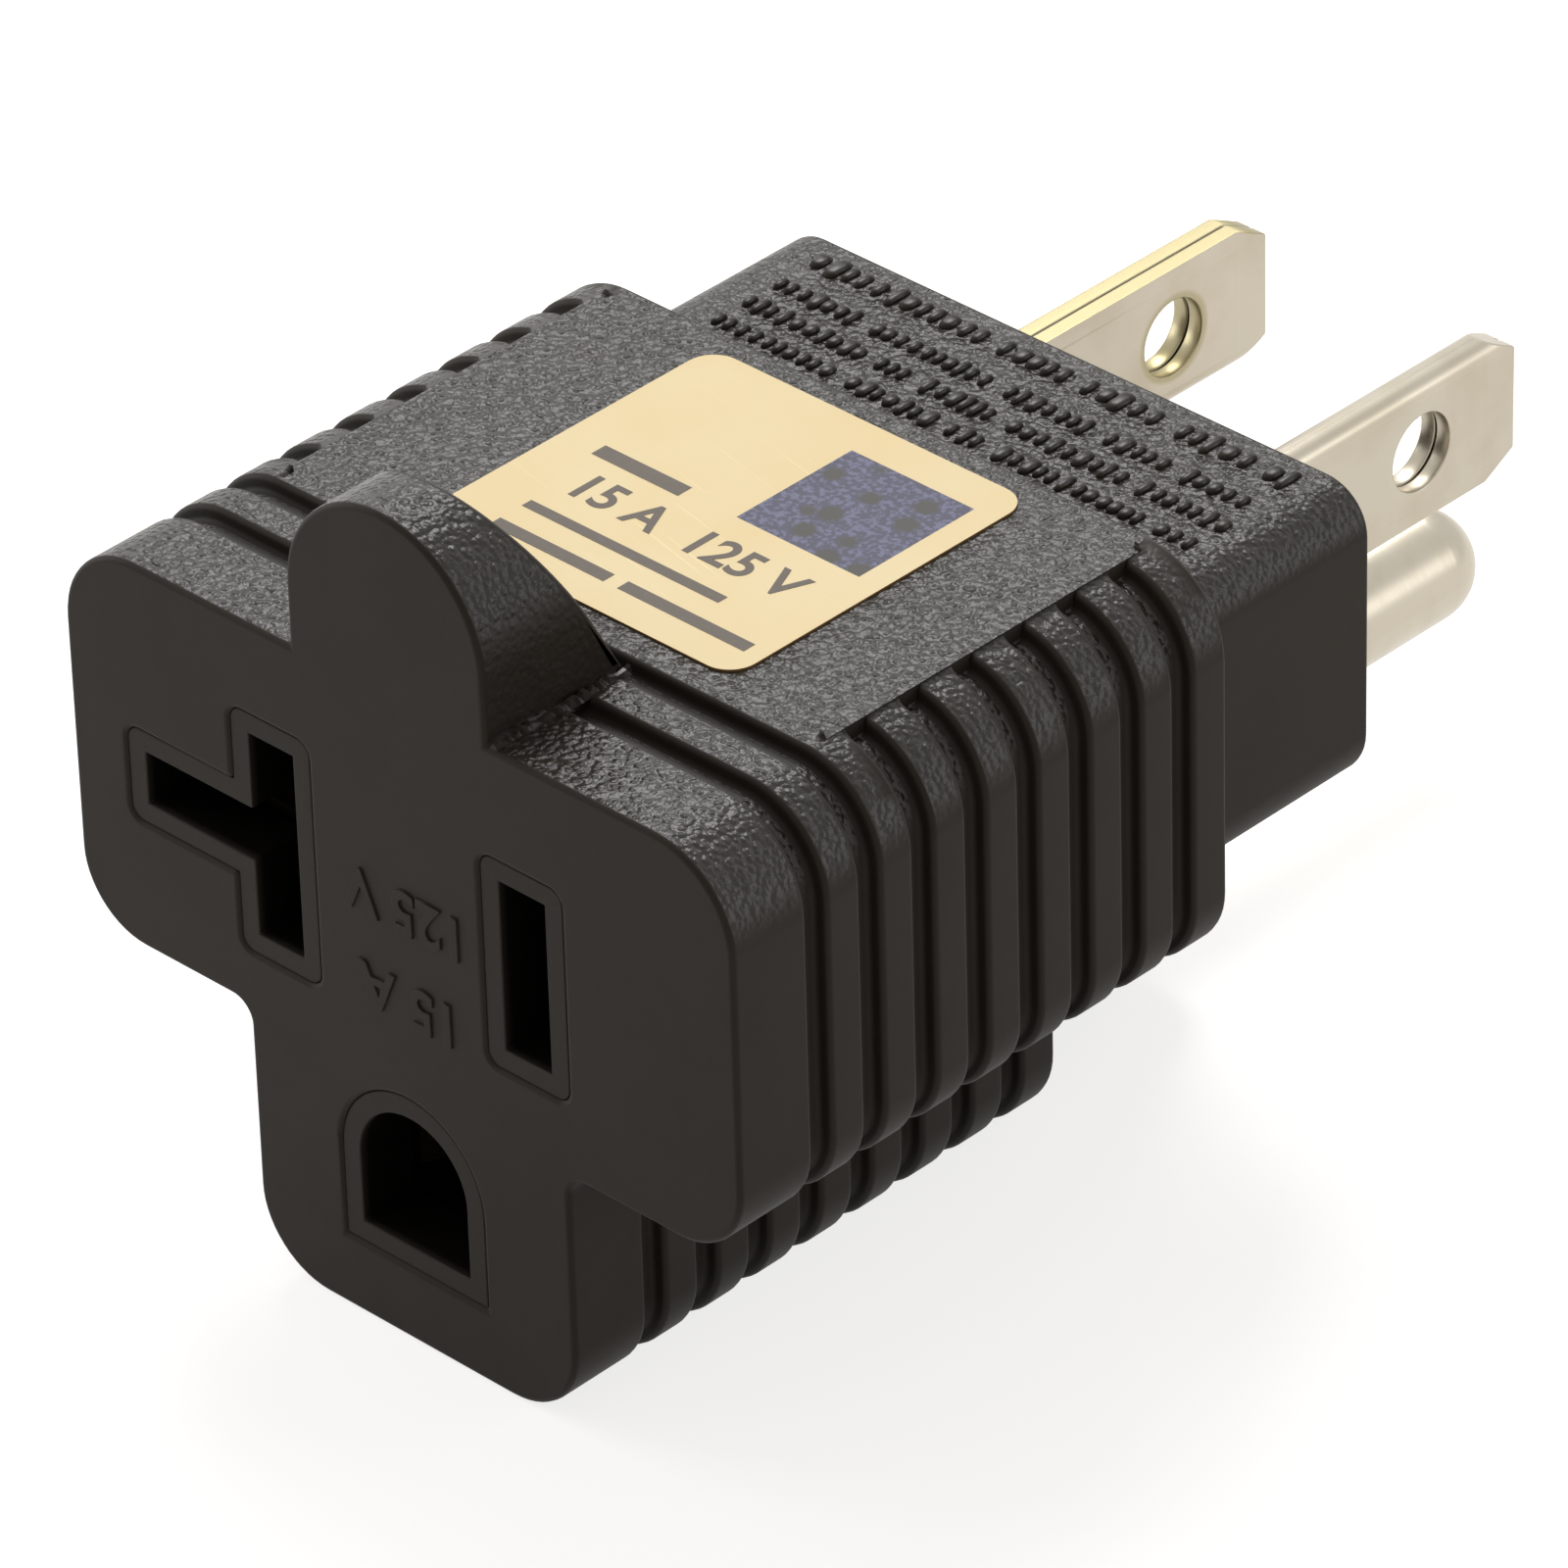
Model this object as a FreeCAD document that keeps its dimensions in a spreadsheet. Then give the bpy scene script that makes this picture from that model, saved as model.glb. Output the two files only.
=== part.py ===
"""Moulded plug adapter: a two-blade and earth-pin plug behind, a T-slot earthed socket in front.

Origin: on the mating face, midway between the two flat blades. +X is right when the socket face
is looked at, +Y points out along the blades, +Z is up, away from the earth pin. Most stations are
distances in front of the mating face, so a station of 10 lies at Y = -10.
"""
import FreeCAD, Part
import math
import os
import Sketcher

SHELL_SIZES = {
    "body_depth": 36.1,
    "rear_depth": 10.3,
    "half_width": 16.9,
    "top_rise": 9.3,
    "wing_drop": 7.75,
    "lobe_half": 8.2,
    "lobe_drop": 19.2,
    "top_corner": 3.8,
    "wing_corner": 3.2,
    "web_round": 0.9,
    "lobe_corner": 3.4,
    "front_band": 3.75,
    "groove_width": 1.0,
    "groove_depth": 0.65,
    "rib_pitch": 2.74,
    "rib_count": 7,
    "shoulder_width": 3.3,
    "rear_setback": 2.15,
    "rear_rise": 7.0,
    "rear_wing_drop": 6.0,
    "rear_lobe_half": 6.5,
    "rear_lobe_drop": 17.6,
    "rear_top_corner": 2.0,
    "rear_wing_corner": 2.4,
    "rear_web_round": 2.2,
    "rear_lobe_corner": 2.2,
    "main_skin": 1.9,
    "rear_skin": 1.5,
    "front_wall": 1.6,
    "rear_wall": 5.0,
}

TAB_SIZES = {
    "tab_half": 4.95,
    "tab_rise": 16.95,
    "tab_base_depth": 7.0,
    "tab_top_depth": 2.8,
}

PLUG_SIZES = {
    "blade_spacing": 12.7,
    "blade_thick": 1.5,
    "blade_width": 6.2,
    "blade_length": 17.2,
    "blade_gauge": 0.71,
    "fold_flat": 0.03,
    "tail_reach": 15.0,
    "tip_length": 1.65,
    "tip_step": 0.84,
    "hole_station": 11.8,
    "hole_radius": 1.65,
    "ground_drop": 11.89,
    "pin_radius": 2.4,
    "root_radius": 2.6,
    "pin_length": 22.1,
    "flange_radius": 3.3,
    "flange_thick": 1.0,
    "spigot_radius": 1.3,
    "peen_radius": 1.9,
    "peen_thick": 0.5,
}

SOCKET_SIZES = {
    "slot_width": 2.3,
    "hot_slot_height": 7.3,
    "neutral_slot_height": 8.8,
    "arm_wall": 3.8,
    "arm_height": 2.25,
    "socket_half": 2.75,
    "socket_floor": 3.1,
    "collar_border": 0.9,
    "collar_corner": 0.6,
    "collar_recess": 0.1,
    "plate_thick": 1.2,
    "carrier_depth": 10.3,
    "room_side": 1.1,
    "room_end": 0.6,
    "arm_room_side": 0.75,
    "arm_room_end": 0.5,
    "ground_room_half": 3.6,
    "ground_room_rise": 3.6,
    "ground_room_fall": 3.9,
    "strap_room": 6.0,
    "ground_seat": 3.3,
    "ground_seat_rise": 2.8,
}

CONTACT_SIZES = {
    "sheet_gauge": 0.5,
    "leaf_half": 2.9,
    "finger_inner": 1.45,
    "leaf_clearance": 0.6,
    "pinch_gap": 0.5,
    "pinch_round": 1.2,
    "mouth_gap": 1.1,
    "mouth_length": 2.1,
    "ring_back": 18.5,
    "ring_depth": 4.5,
    "web_clearance": 0.25,
    "fold_round": 0.25,
    "strap_clearance": 0.4,
    "arm_end_clearance": 0.2,
    "arm_leaf_inner": 8.4,
    "ground_leaf_half": 2.4,
    "ground_leaf_base": 2.95,
    "ground_pinch_gap": 2.2,
    "ground_mouth_gap": 3.0,
    "ground_plate": 0.6,
}

LABEL_SIZES = {
    "label_width": 16.1,
    "label_length": 15.7,
    "label_front": 8.9,
    "label_corner": 1.2,
    "label_shift": 0.4,
    "label_thick": 0.1,
}

SIZE_GROUPS = (SHELL_SIZES, TAB_SIZES, PLUG_SIZES, SOCKET_SIZES, CONTACT_SIZES, LABEL_SIZES)

# Stations in front of the mating face, and sizes that follow from two or more others.
CARRIER_FRONT = "(Dims.rear_wall + Dims.carrier_depth)"
INSERT_DEPTH = f"(Dims.body_depth - Dims.front_wall - {CARRIER_FRONT})"
PLATE_BACK = "(Dims.body_depth - Dims.front_wall - Dims.plate_thick)"
LEAF_TIP = f"({PLATE_BACK} - Dims.leaf_clearance)"
RING_FRONT = "(Dims.ring_back + Dims.ring_depth)"
STRAP_FLOOR = f"({CARRIER_FRONT} - Dims.strap_room)"
GROUND_FLOOR = f"({CARRIER_FRONT} - Dims.ground_seat)"
RIB_WIDTH = "(Dims.rib_pitch - Dims.groove_width)"
REAR_BAND = ("(Dims.body_depth - Dims.rear_depth - Dims.front_band"
             " - Dims.rib_count * Dims.rib_pitch - Dims.groove_width)")
PLAIN_HALF = "(Dims.half_width - Dims.shoulder_width)"
REAR_HALF = "(Dims.half_width - Dims.rear_setback)"
ARM_END = "(Dims.half_width - Dims.arm_wall)"
ARM_CONTACT_END = f"({ARM_END} - Dims.arm_end_clearance)"
POLE = "(Dims.blade_spacing / 2)"
BLADE_FACE = "(Dims.blade_thick / 2)"
TOOL_MARGIN = "1"

doc = FreeCAD.newDocument("PlugAdapter")
sheet = doc.addObject("Spreadsheet::Sheet", "Dims")


def fill_sheet():
    row = 1
    for group in SIZE_GROUPS:
        for alias, value in group.items():
            sheet.set(f"A{row}", alias)
            sheet.set(f"B{row}", str(value))
            sheet.setAlias(f"B{row}", alias)
            row += 1
    doc.recompute()


def new_body(name):
    body = doc.addObject("PartDesign::Body", name)
    body.Label = name
    return body


def new_sketch(body, name, role, offset="0"):
    """A sketch on one of the body's own origin planes, moved along the plane's normal."""
    sketch = body.newObject("Sketcher::SketchObject", f"{body.Name}_{name}")
    plane = next(f for f in body.Origin.OriginFeatures if f.Role == role)
    sketch.AttachmentSupport = [(plane, "")]
    sketch.MapMode = "FlatFace"
    sketch.setExpression("AttachmentOffset.Base.z", offset)
    return sketch


def section(body, name, station="0"):
    """A sketch across the adapter, at a station in front of the mating face."""
    return new_sketch(body, name, "XZ_Plane", station)


def bind(sketch, kind, places, expression):
    value = sketch.evalExpression(expression)
    number = sketch.addConstraint(Sketcher.Constraint(kind, *places, value))
    sketch.setExpression(f"Constraints[{number}]", expression)


def place_point(sketch, geometry, position, across, up):
    bind(sketch, "DistanceX", (geometry, position), across)
    bind(sketch, "DistanceY", (geometry, position), up)


def outline(sketch, corners):
    """A closed outline through corners given as (across, up) or (across, up, radius)."""
    count = len(corners)
    points = [FreeCAD.Vector(sketch.evalExpression(c[0]), sketch.evalExpression(c[1]), 0)
              for c in corners]
    entries, exits, arcs = list(points), list(points), {}
    for i, corner in enumerate(corners):
        if len(corner) == 2:
            continue
        radius = sketch.evalExpression(corner[2])
        back = (points[i - 1] - points[i]).normalize()
        ahead = (points[(i + 1) % count] - points[i]).normalize()
        half_angle = back.getAngle(ahead) / 2
        entries[i] = points[i] + back * (radius / math.tan(half_angle))
        exits[i] = points[i] + ahead * (radius / math.tan(half_angle))
        centre = points[i] + (back + ahead).normalize() * (radius / math.sin(half_angle))
        turns_left = back.cross(ahead).z < 0
        first, last = (entries[i], exits[i]) if turns_left else (exits[i], entries[i])
        start = math.atan2(first.y - centre.y, first.x - centre.x)
        end = math.atan2(last.y - centre.y, last.x - centre.x)
        circle = Part.Circle(centre, FreeCAD.Vector(0, 0, 1), radius)
        arcs[i] = (sketch.addGeometry(Part.ArcOfCircle(circle, start, end)), turns_left)
    lines = [sketch.addGeometry(Part.LineSegment(exits[i], entries[(i + 1) % count]))
             for i in range(count)]
    for i, corner in enumerate(corners):
        before, after = lines[i - 1], lines[i]
        if i not in arcs:
            sketch.addConstraint(Sketcher.Constraint("Coincident", before, 2, after, 1))
            place_point(sketch, after, 1, corner[0], corner[1])
            continue
        arc, turns_left = arcs[i]
        arc_in, arc_out = (1, 2) if turns_left else (2, 1)
        sketch.addConstraint(Sketcher.Constraint("Tangent", before, 2, arc, arc_in))
        sketch.addConstraint(Sketcher.Constraint("Tangent", arc, arc_out, after, 1))
        bind(sketch, "Radius", (arc,), corner[2])
        mark = sketch.addGeometry(Part.Point(points[i]), True)
        place_point(sketch, mark, 1, corner[0], corner[1])
        sketch.addConstraint(Sketcher.Constraint("PointOnObject", mark, 1, before))
        sketch.addConstraint(Sketcher.Constraint("PointOnObject", mark, 1, after))


def box_outline(sketch, left, right, low, high, radius=None):
    corners = [(left, low), (right, low), (right, high), (left, high)]
    outline(sketch, [c + ((radius,) if radius else ()) for c in corners])


def circle_outline(sketch, across, up, radius):
    centre = FreeCAD.Vector(sketch.evalExpression(across), sketch.evalExpression(up), 0)
    size = sketch.evalExpression(radius)
    ring = sketch.addGeometry(Part.Circle(centre, FreeCAD.Vector(0, 0, 1), size))
    place_point(sketch, ring, 3, across, up)
    bind(sketch, "Radius", (ring,), radius)


def arch_outline(sketch, half, floor, spring):
    """A round-topped opening: flat floor, upright sides and a half circle from the spring line."""
    width, low, rise = (sketch.evalExpression(e) for e in (half, floor, spring))
    foot_left, foot_right = FreeCAD.Vector(-width, low, 0), FreeCAD.Vector(width, low, 0)
    head_left, head_right = FreeCAD.Vector(-width, rise, 0), FreeCAD.Vector(width, rise, 0)
    ring = Part.Circle(FreeCAD.Vector(0, rise, 0), FreeCAD.Vector(0, 0, 1), width)
    base = sketch.addGeometry(Part.LineSegment(foot_left, foot_right))
    right = sketch.addGeometry(Part.LineSegment(foot_right, head_right))
    crown = sketch.addGeometry(Part.ArcOfCircle(ring, 0, math.pi))
    left = sketch.addGeometry(Part.LineSegment(head_left, foot_left))
    sketch.addConstraint(Sketcher.Constraint("Coincident", base, 2, right, 1))
    sketch.addConstraint(Sketcher.Constraint("Coincident", left, 2, base, 1))
    sketch.addConstraint(Sketcher.Constraint("Tangent", right, 2, crown, 1))
    sketch.addConstraint(Sketcher.Constraint("Tangent", crown, 2, left, 1))
    sketch.addConstraint(Sketcher.Constraint("Vertical", right))
    sketch.addConstraint(Sketcher.Constraint("Vertical", left))
    place_point(sketch, base, 1, f"-({half})", floor)
    place_point(sketch, base, 2, half, floor)
    bind(sketch, "DistanceY", (crown, 3), spring)


def tee_outline(sketch, half, rise, wing_drop, lobe_half, lobe_drop, corners, inset="0"):
    """The adapter's T form, wide wings over a narrower lobe; without a web its inner corners are square."""
    top, wing, web, lobe = corners
    web_round = (web,) if web else ()
    side, foot = f"{half} - {inset}", f"-({lobe_drop} - {inset})"
    waist, shelf = f"{lobe_half} - {inset}", f"-({wing_drop} - {inset})"
    head = f"{rise} - {inset}"
    outline(sketch, [
        (f"-({waist})", foot, f"{lobe} - {inset}"), (waist, foot, f"{lobe} - {inset}"),
        (waist, shelf) + web_round, (side, shelf, f"{wing} - {inset}"),
        (side, head, f"{top} - {inset}"), (f"-({side})", head, f"{top} - {inset}"),
        (f"-({side})", shelf, f"{wing} - {inset}"), (f"-({waist})", shelf) + web_round,
    ])


def main_tee(sketch, inset="0", web=None):
    corners = ("Dims.top_corner", "Dims.wing_corner", web, "Dims.lobe_corner")
    tee_outline(sketch, "Dims.half_width", "Dims.top_rise", "Dims.wing_drop",
                "Dims.lobe_half", "Dims.lobe_drop", corners, inset)


def rear_tee(sketch, inset="0", web=None):
    corners = ("Dims.rear_top_corner", "Dims.rear_wing_corner", web, "Dims.rear_lobe_corner")
    tee_outline(sketch, REAR_HALF, "Dims.rear_rise", "Dims.rear_wing_drop",
                "Dims.rear_lobe_half", "Dims.rear_lobe_drop", corners, inset)


def hot_slot_outline(sketch, side="0", end="0", radius=None):
    half_high = f"(Dims.hot_slot_height / 2 + {end})"
    half_wide = f"(Dims.slot_width / 2 + {side})"
    box_outline(sketch, f"{POLE} - {half_wide}", f"{POLE} + {half_wide}",
                f"-{half_high}", half_high, radius)


def neutral_slot_outline(sketch, side="0", end="0", arm_side="0", arm_end="0", radius=None):
    """The T slot: an upright slot with a level arm that leaves it towards the edge."""
    high = f"(Dims.neutral_slot_height / 2 + {end})"
    inner = f"-({POLE} - Dims.slot_width / 2 - {side})"
    outer = f"-({POLE} + Dims.slot_width / 2 + {side})"
    arm = f"(Dims.arm_height / 2 + {arm_side})"
    far = f"-({ARM_END} + {arm_end})"
    rounding = (radius,) if radius else ()
    outline(sketch, [
        (outer, f"-{high}") + rounding, (inner, f"-{high}") + rounding,
        (inner, high) + rounding, (outer, high) + rounding, (outer, arm),
        (far, arm) + rounding, (far, f"-{arm}") + rounding, (outer, f"-{arm}"),
    ])


def ground_slot_outline(sketch, grow="0"):
    arch_outline(sketch, f"(Dims.socket_half + {grow})",
                 f"-(Dims.ground_drop + Dims.socket_floor + {grow})", "-Dims.ground_drop")


def blade_outline(sketch, side, fold_up):
    """A folded blade end on: square at its open edges and round along the fold."""
    left = f"{side} * {POLE} - {BLADE_FACE}"
    right = f"{side} * {POLE} + {BLADE_FACE}"
    half = "Dims.blade_width / 2"
    fold = (f"{BLADE_FACE} - Dims.fold_flat",)
    low, high = ((), fold) if fold_up else (fold, ())
    outline(sketch, [(left, f"-({half})") + low, (right, f"-({half})") + low,
                     (right, half) + high, (left, half) + high])


def pad(body, name, sketch, length, both_ways=False):
    feature = body.newObject("PartDesign::Pad", f"{body.Name}_{name}")
    feature.Profile = sketch
    feature.setExpression("Length", length)
    if both_ways:
        feature.SideType = "Symmetric"
    doc.recompute()
    return feature


def cut(body, name, sketch, length, both_ways=False):
    """A pocket along the sketch's own normal, refused if it takes nothing away."""
    before = body.Tip.Shape.Volume
    feature = body.newObject("PartDesign::Pocket", f"{body.Name}_{name}")
    feature.Profile = sketch
    feature.setExpression("Length", length)
    if both_ways:
        feature.SideType = "Symmetric"
    else:
        feature.Reversed = True
    doc.recompute()
    if not feature.Shape.Volume < before:
        raise RuntimeError(f"{feature.Name} cuts nothing")
    return feature


def make_ribbed_form(body):
    """Main body: an inner form, two end bands and a row of ribs that stand out of it."""
    inner = section(body, "inner", "Dims.rear_depth")
    main_tee(inner, "Dims.groove_depth")
    pad(body, "core", inner, "Dims.body_depth - Dims.rear_depth")
    front = section(body, "front", "Dims.body_depth - Dims.front_band")
    main_tee(front, web="Dims.web_round")
    pad(body, "front_band", front, "Dims.front_band")
    rear = section(body, "rear", "Dims.rear_depth")
    main_tee(rear, web="Dims.web_round")
    pad(body, "rear_band", rear, REAR_BAND)
    first = section(body, "rib", "Dims.body_depth - Dims.front_band - Dims.rib_pitch")
    main_tee(first)
    rib = pad(body, "rib_one", first, RIB_WIDTH)
    ribs = body.newObject("PartDesign::LinearPattern", f"{body.Name}_ribs")
    ribs.Originals = [rib]
    ribs.Direction = (first, ["N_Axis"])
    ribs.Reversed = True
    ribs.Mode = "Spacing"
    ribs.setExpression("Offset", "Dims.rib_pitch")
    ribs.setExpression("Occurrences", "Dims.rib_count")
    body.Tip = ribs
    doc.recompute()


def make_overmould_body():
    """The one-piece outer moulding: ribbed body, thumb tab and plain rear block."""
    body = new_body("overmould_body")
    make_ribbed_form(body)

    top = section(body, "plain", f"Dims.rear_depth + {REAR_BAND} / 2")
    box_outline(top, f"-{PLAIN_HALF}", PLAIN_HALF, "0", "Dims.top_rise")
    pad(body, "plain_top", top,
        f"Dims.body_depth - Dims.front_band - Dims.rib_pitch - Dims.groove_width"
        f" - {RIB_WIDTH} / 2 - Dims.rear_depth - {REAR_BAND} / 2")

    block = section(body, "block")
    rear_tee(block, web="Dims.rear_web_round")
    pad(body, "rear_block", block, "Dims.rear_depth")
    make_tab(body)
    make_core_room(body)
    return body


def make_tab(body):
    """The thumb tab: an arch flush with the socket face, thick at its foot and thin on top."""
    arch = section(body, "arch", "Dims.body_depth - Dims.tab_base_depth")
    arch_outline(arch, "Dims.tab_half", "Dims.top_rise - Dims.main_skin",
                 "Dims.tab_rise - Dims.tab_half")
    pad(body, "tab", arch, "Dims.tab_base_depth")
    slope = new_sketch(body, "tab_slope", "YZ_Plane")
    thin = "-(Dims.body_depth - Dims.tab_top_depth)"
    foot = "-(Dims.body_depth - Dims.tab_base_depth)"
    behind = f"{foot} + {TOOL_MARGIN}"
    above = f"Dims.tab_rise + {TOOL_MARGIN}"
    outline(slope, [(thin, "Dims.tab_rise"), (foot, "Dims.top_rise"), (behind, "Dims.top_rise"),
                    (behind, above), (thin, above)])
    cut(body, "tab_back", slope, f"2 * (Dims.tab_half + {TOOL_MARGIN})", both_ways=True)


def make_core_room(body):
    """The space that the moulding keeps for the inner cores, the blades and the pin."""
    insert = section(body, "insert_room", CARRIER_FRONT)
    main_tee(insert, "Dims.main_skin")
    cut(body, "insert_space", insert, INSERT_DEPTH)
    carrier = section(body, "carrier_room", "Dims.rear_wall")
    rear_tee(carrier, "Dims.rear_skin")
    cut(body, "carrier_space", carrier, "Dims.carrier_depth")

    wall_back = "Dims.body_depth - Dims.front_wall"
    for name, draw in COLLARS.items():
        opening = section(body, f"{name}_opening", wall_back)
        draw(opening)
        cut(body, f"{name}_window", opening, "Dims.front_wall")
    for name, side, fold_up in (("hot", 1, True), ("neutral", -1, False)):
        slot = section(body, f"{name}_blade_hole")
        blade_outline(slot, side, fold_up)
        cut(body, f"{name}_blade_way", slot, "Dims.rear_wall")
    hole = section(body, "pin_hole")
    circle_outline(hole, "0", "-Dims.ground_drop", "Dims.root_radius")
    cut(body, "pin_way", hole, "Dims.rear_wall")


def neutral_collar(sketch):
    border = "Dims.collar_border"
    neutral_slot_outline(sketch, border, border, border, border, "Dims.collar_corner")


def hot_collar(sketch):
    hot_slot_outline(sketch, "Dims.collar_border", "Dims.collar_border", "Dims.collar_corner")


def ground_collar(sketch):
    ground_slot_outline(sketch, "Dims.collar_border")


COLLARS = {"neutral": neutral_collar, "hot": hot_collar, "ground": ground_collar}
SLOTS = {"neutral": neutral_slot_outline, "hot": hot_slot_outline, "ground": ground_slot_outline}


def ground_room(sketch):
    box_outline(sketch, "-Dims.ground_room_half", "Dims.ground_room_half",
                "-(Dims.ground_drop + Dims.ground_room_fall)",
                "-(Dims.ground_drop - Dims.ground_room_rise)")


def make_receptacle_insert():
    """Front core: a plate with a collar round each opening, and open-backed contact rooms."""
    body = new_body("receptacle_insert")
    block = section(body, "block", CARRIER_FRONT)
    main_tee(block, "Dims.main_skin")
    pad(body, "form", block, INSERT_DEPTH)
    for name, draw in COLLARS.items():
        collar = section(body, f"{name}_collar", "Dims.body_depth - Dims.front_wall")
        draw(collar)
        pad(body, f"{name}_rim", collar, "Dims.front_wall - Dims.collar_recess")
    for name, draw in SLOTS.items():
        slot = section(body, f"{name}_slot", PLATE_BACK)
        draw(slot)
        cut(body, f"{name}_mouth", slot, "Dims.plate_thick + Dims.front_wall")
    rooms = {
        "neutral": lambda s: neutral_slot_outline(s, "Dims.room_side", "Dims.room_end",
                                                  "Dims.arm_room_side", "Dims.arm_room_end"),
        "hot": lambda s: hot_slot_outline(s, "Dims.room_side", "Dims.room_end"),
        "ground": ground_room,
    }
    for name, draw in rooms.items():
        room = section(body, f"{name}_room", CARRIER_FRONT)
        draw(room)
        cut(body, f"{name}_chamber", room, f"{INSERT_DEPTH} - Dims.plate_thick")
    return body


def make_contact_carrier():
    """Rear core: holds the blade tails and the pin, with rooms for the straps on the tails."""
    body = new_body("contact_carrier")
    block = section(body, "block", "Dims.rear_wall")
    rear_tee(block, "Dims.rear_skin")
    pad(body, "form", block, "Dims.carrier_depth")
    half_room = f"(Dims.slot_width / 2 + Dims.room_side)"
    half_high = "(Dims.hot_slot_height / 2)"
    for name, side, fold_up in (("hot", 1, True), ("neutral", -1, False)):
        slot = section(body, f"{name}_slot", "Dims.rear_wall")
        blade_outline(slot, side, fold_up)
        cut(body, f"{name}_way", slot, "Dims.carrier_depth")
        room = section(body, f"{name}_room", STRAP_FLOOR)
        box_outline(room, f"{side} * {POLE} - {half_room}", f"{side} * {POLE} + {half_room}",
                    f"-{half_high}", half_high)
        cut(body, f"{name}_strap_room", room, "Dims.strap_room")
    seat = section(body, "ground_seat", GROUND_FLOOR)
    box_outline(seat, "-Dims.ground_room_half", "Dims.ground_room_half",
                "-(Dims.ground_drop + Dims.ground_seat_rise)",
                "-(Dims.ground_drop - Dims.ground_seat_rise)")
    cut(body, "ground_recess", seat, "Dims.ground_seat")
    hole = section(body, "pin_hole", "Dims.rear_wall")
    circle_outline(hole, "0", "-Dims.ground_drop", "Dims.root_radius")
    cut(body, "pin_way", hole, "Dims.carrier_depth")
    flange = section(body, "flange", "Dims.rear_wall")
    circle_outline(flange, "0", "-Dims.ground_drop", "Dims.flange_radius")
    cut(body, "flange_seat", flange, "Dims.flange_thick")
    return body


def make_blade(name, side, fold_up):
    """A flat blade folded from sheet, with a fold on one long edge and a seam along the other.

    The tail behind the mating face is pressed shut, so the seam ends there.
    """
    body = new_body(name)
    end_on = section(body, "section", "-Dims.blade_length")
    blade_outline(end_on, side, fold_up)
    pad(body, "strip", end_on, "Dims.blade_length + Dims.tail_reach")

    half = "Dims.blade_width / 2"
    tip, shoulder = "Dims.blade_length", "Dims.blade_length - Dims.tip_length"
    width = "2 * (Dims.blade_spacing + Dims.blade_thick)"
    for end, sign in (("upper", ""), ("lower", "-")):
        corner = new_sketch(body, f"{end}_tip", "YZ_Plane")
        outline(corner, [(tip, f"{sign}({half} - Dims.tip_step)"), (tip, f"{sign}({half})"),
                         (shoulder, f"{sign}({half})")])
        cut(body, f"{end}_bevel", corner, width, both_ways=True)

    hole = new_sketch(body, "hole", "YZ_Plane")
    circle_outline(hole, "Dims.hole_station", "0", "Dims.hole_radius")
    cut(body, "eye", hole, width, both_ways=True)

    seam = section(body, "seam", "-Dims.blade_length")
    slit = "(Dims.blade_thick / 2 - Dims.blade_gauge)"
    centre = f"{side} * {POLE}"
    floor, roof = f"-({half})", f"{half} - Dims.blade_gauge"
    if not fold_up:
        floor, roof = f"-({half} - Dims.blade_gauge)", half
    box_outline(seam, f"{centre} - {slit}", f"{centre} + {slit}", floor, roof)
    cut(body, "slit", seam, "Dims.blade_length")
    return body


def pin_outline(sketch):
    """Half of the pin's section, from its axis outwards: steps behind, a quarter round in front."""
    seat = f"-{GROUND_FLOOR}"
    plate = f"-({GROUND_FLOOR} + Dims.ground_plate)"
    steps = [
        ("0", f"-({GROUND_FLOOR} + Dims.ground_plate + Dims.peen_thick)"),
        ("Dims.peen_radius", f"-({GROUND_FLOOR} + Dims.ground_plate + Dims.peen_thick)"),
        ("Dims.peen_radius", plate), ("Dims.spigot_radius", plate),
        ("Dims.spigot_radius", seat), ("Dims.root_radius", seat),
        ("Dims.root_radius", "-(Dims.rear_wall + Dims.flange_thick)"),
        ("Dims.flange_radius", "-(Dims.rear_wall + Dims.flange_thick)"),
        ("Dims.flange_radius", "-Dims.rear_wall"), ("Dims.root_radius", "-Dims.rear_wall"),
        ("Dims.root_radius", "0"), ("Dims.pin_radius", "0"),
        ("Dims.pin_radius", "Dims.pin_length - Dims.pin_radius"),
    ]
    points = [FreeCAD.Vector(sketch.evalExpression(across), sketch.evalExpression(along), 0)
              for across, along in steps]
    radius, tip = sketch.evalExpression("Dims.pin_radius"), sketch.evalExpression("Dims.pin_length")
    lines = [sketch.addGeometry(Part.LineSegment(first, last))
             for first, last in zip(points, points[1:])]
    ball = Part.Circle(FreeCAD.Vector(0, tip - radius, 0), FreeCAD.Vector(0, 0, 1), radius)
    nose = sketch.addGeometry(Part.ArcOfCircle(ball, 0, math.pi / 2))
    axis = sketch.addGeometry(Part.LineSegment(FreeCAD.Vector(0, tip, 0), points[0]))
    for before, after in zip(lines, lines[1:]):
        sketch.addConstraint(Sketcher.Constraint("Coincident", before, 2, after, 1))
    sketch.addConstraint(Sketcher.Constraint("Tangent", lines[-1], 2, nose, 1))
    sketch.addConstraint(Sketcher.Constraint("Coincident", nose, 2, axis, 1))
    sketch.addConstraint(Sketcher.Constraint("Coincident", axis, 2, lines[0], 1))
    for line, (across, along) in zip(lines, steps):
        place_point(sketch, line, 1, across, along)
    place_point(sketch, lines[-1], 2, *steps[-1])
    bind(sketch, "DistanceX", (nose, 3), "0")
    bind(sketch, "DistanceX", (nose, 2), "0")


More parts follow.
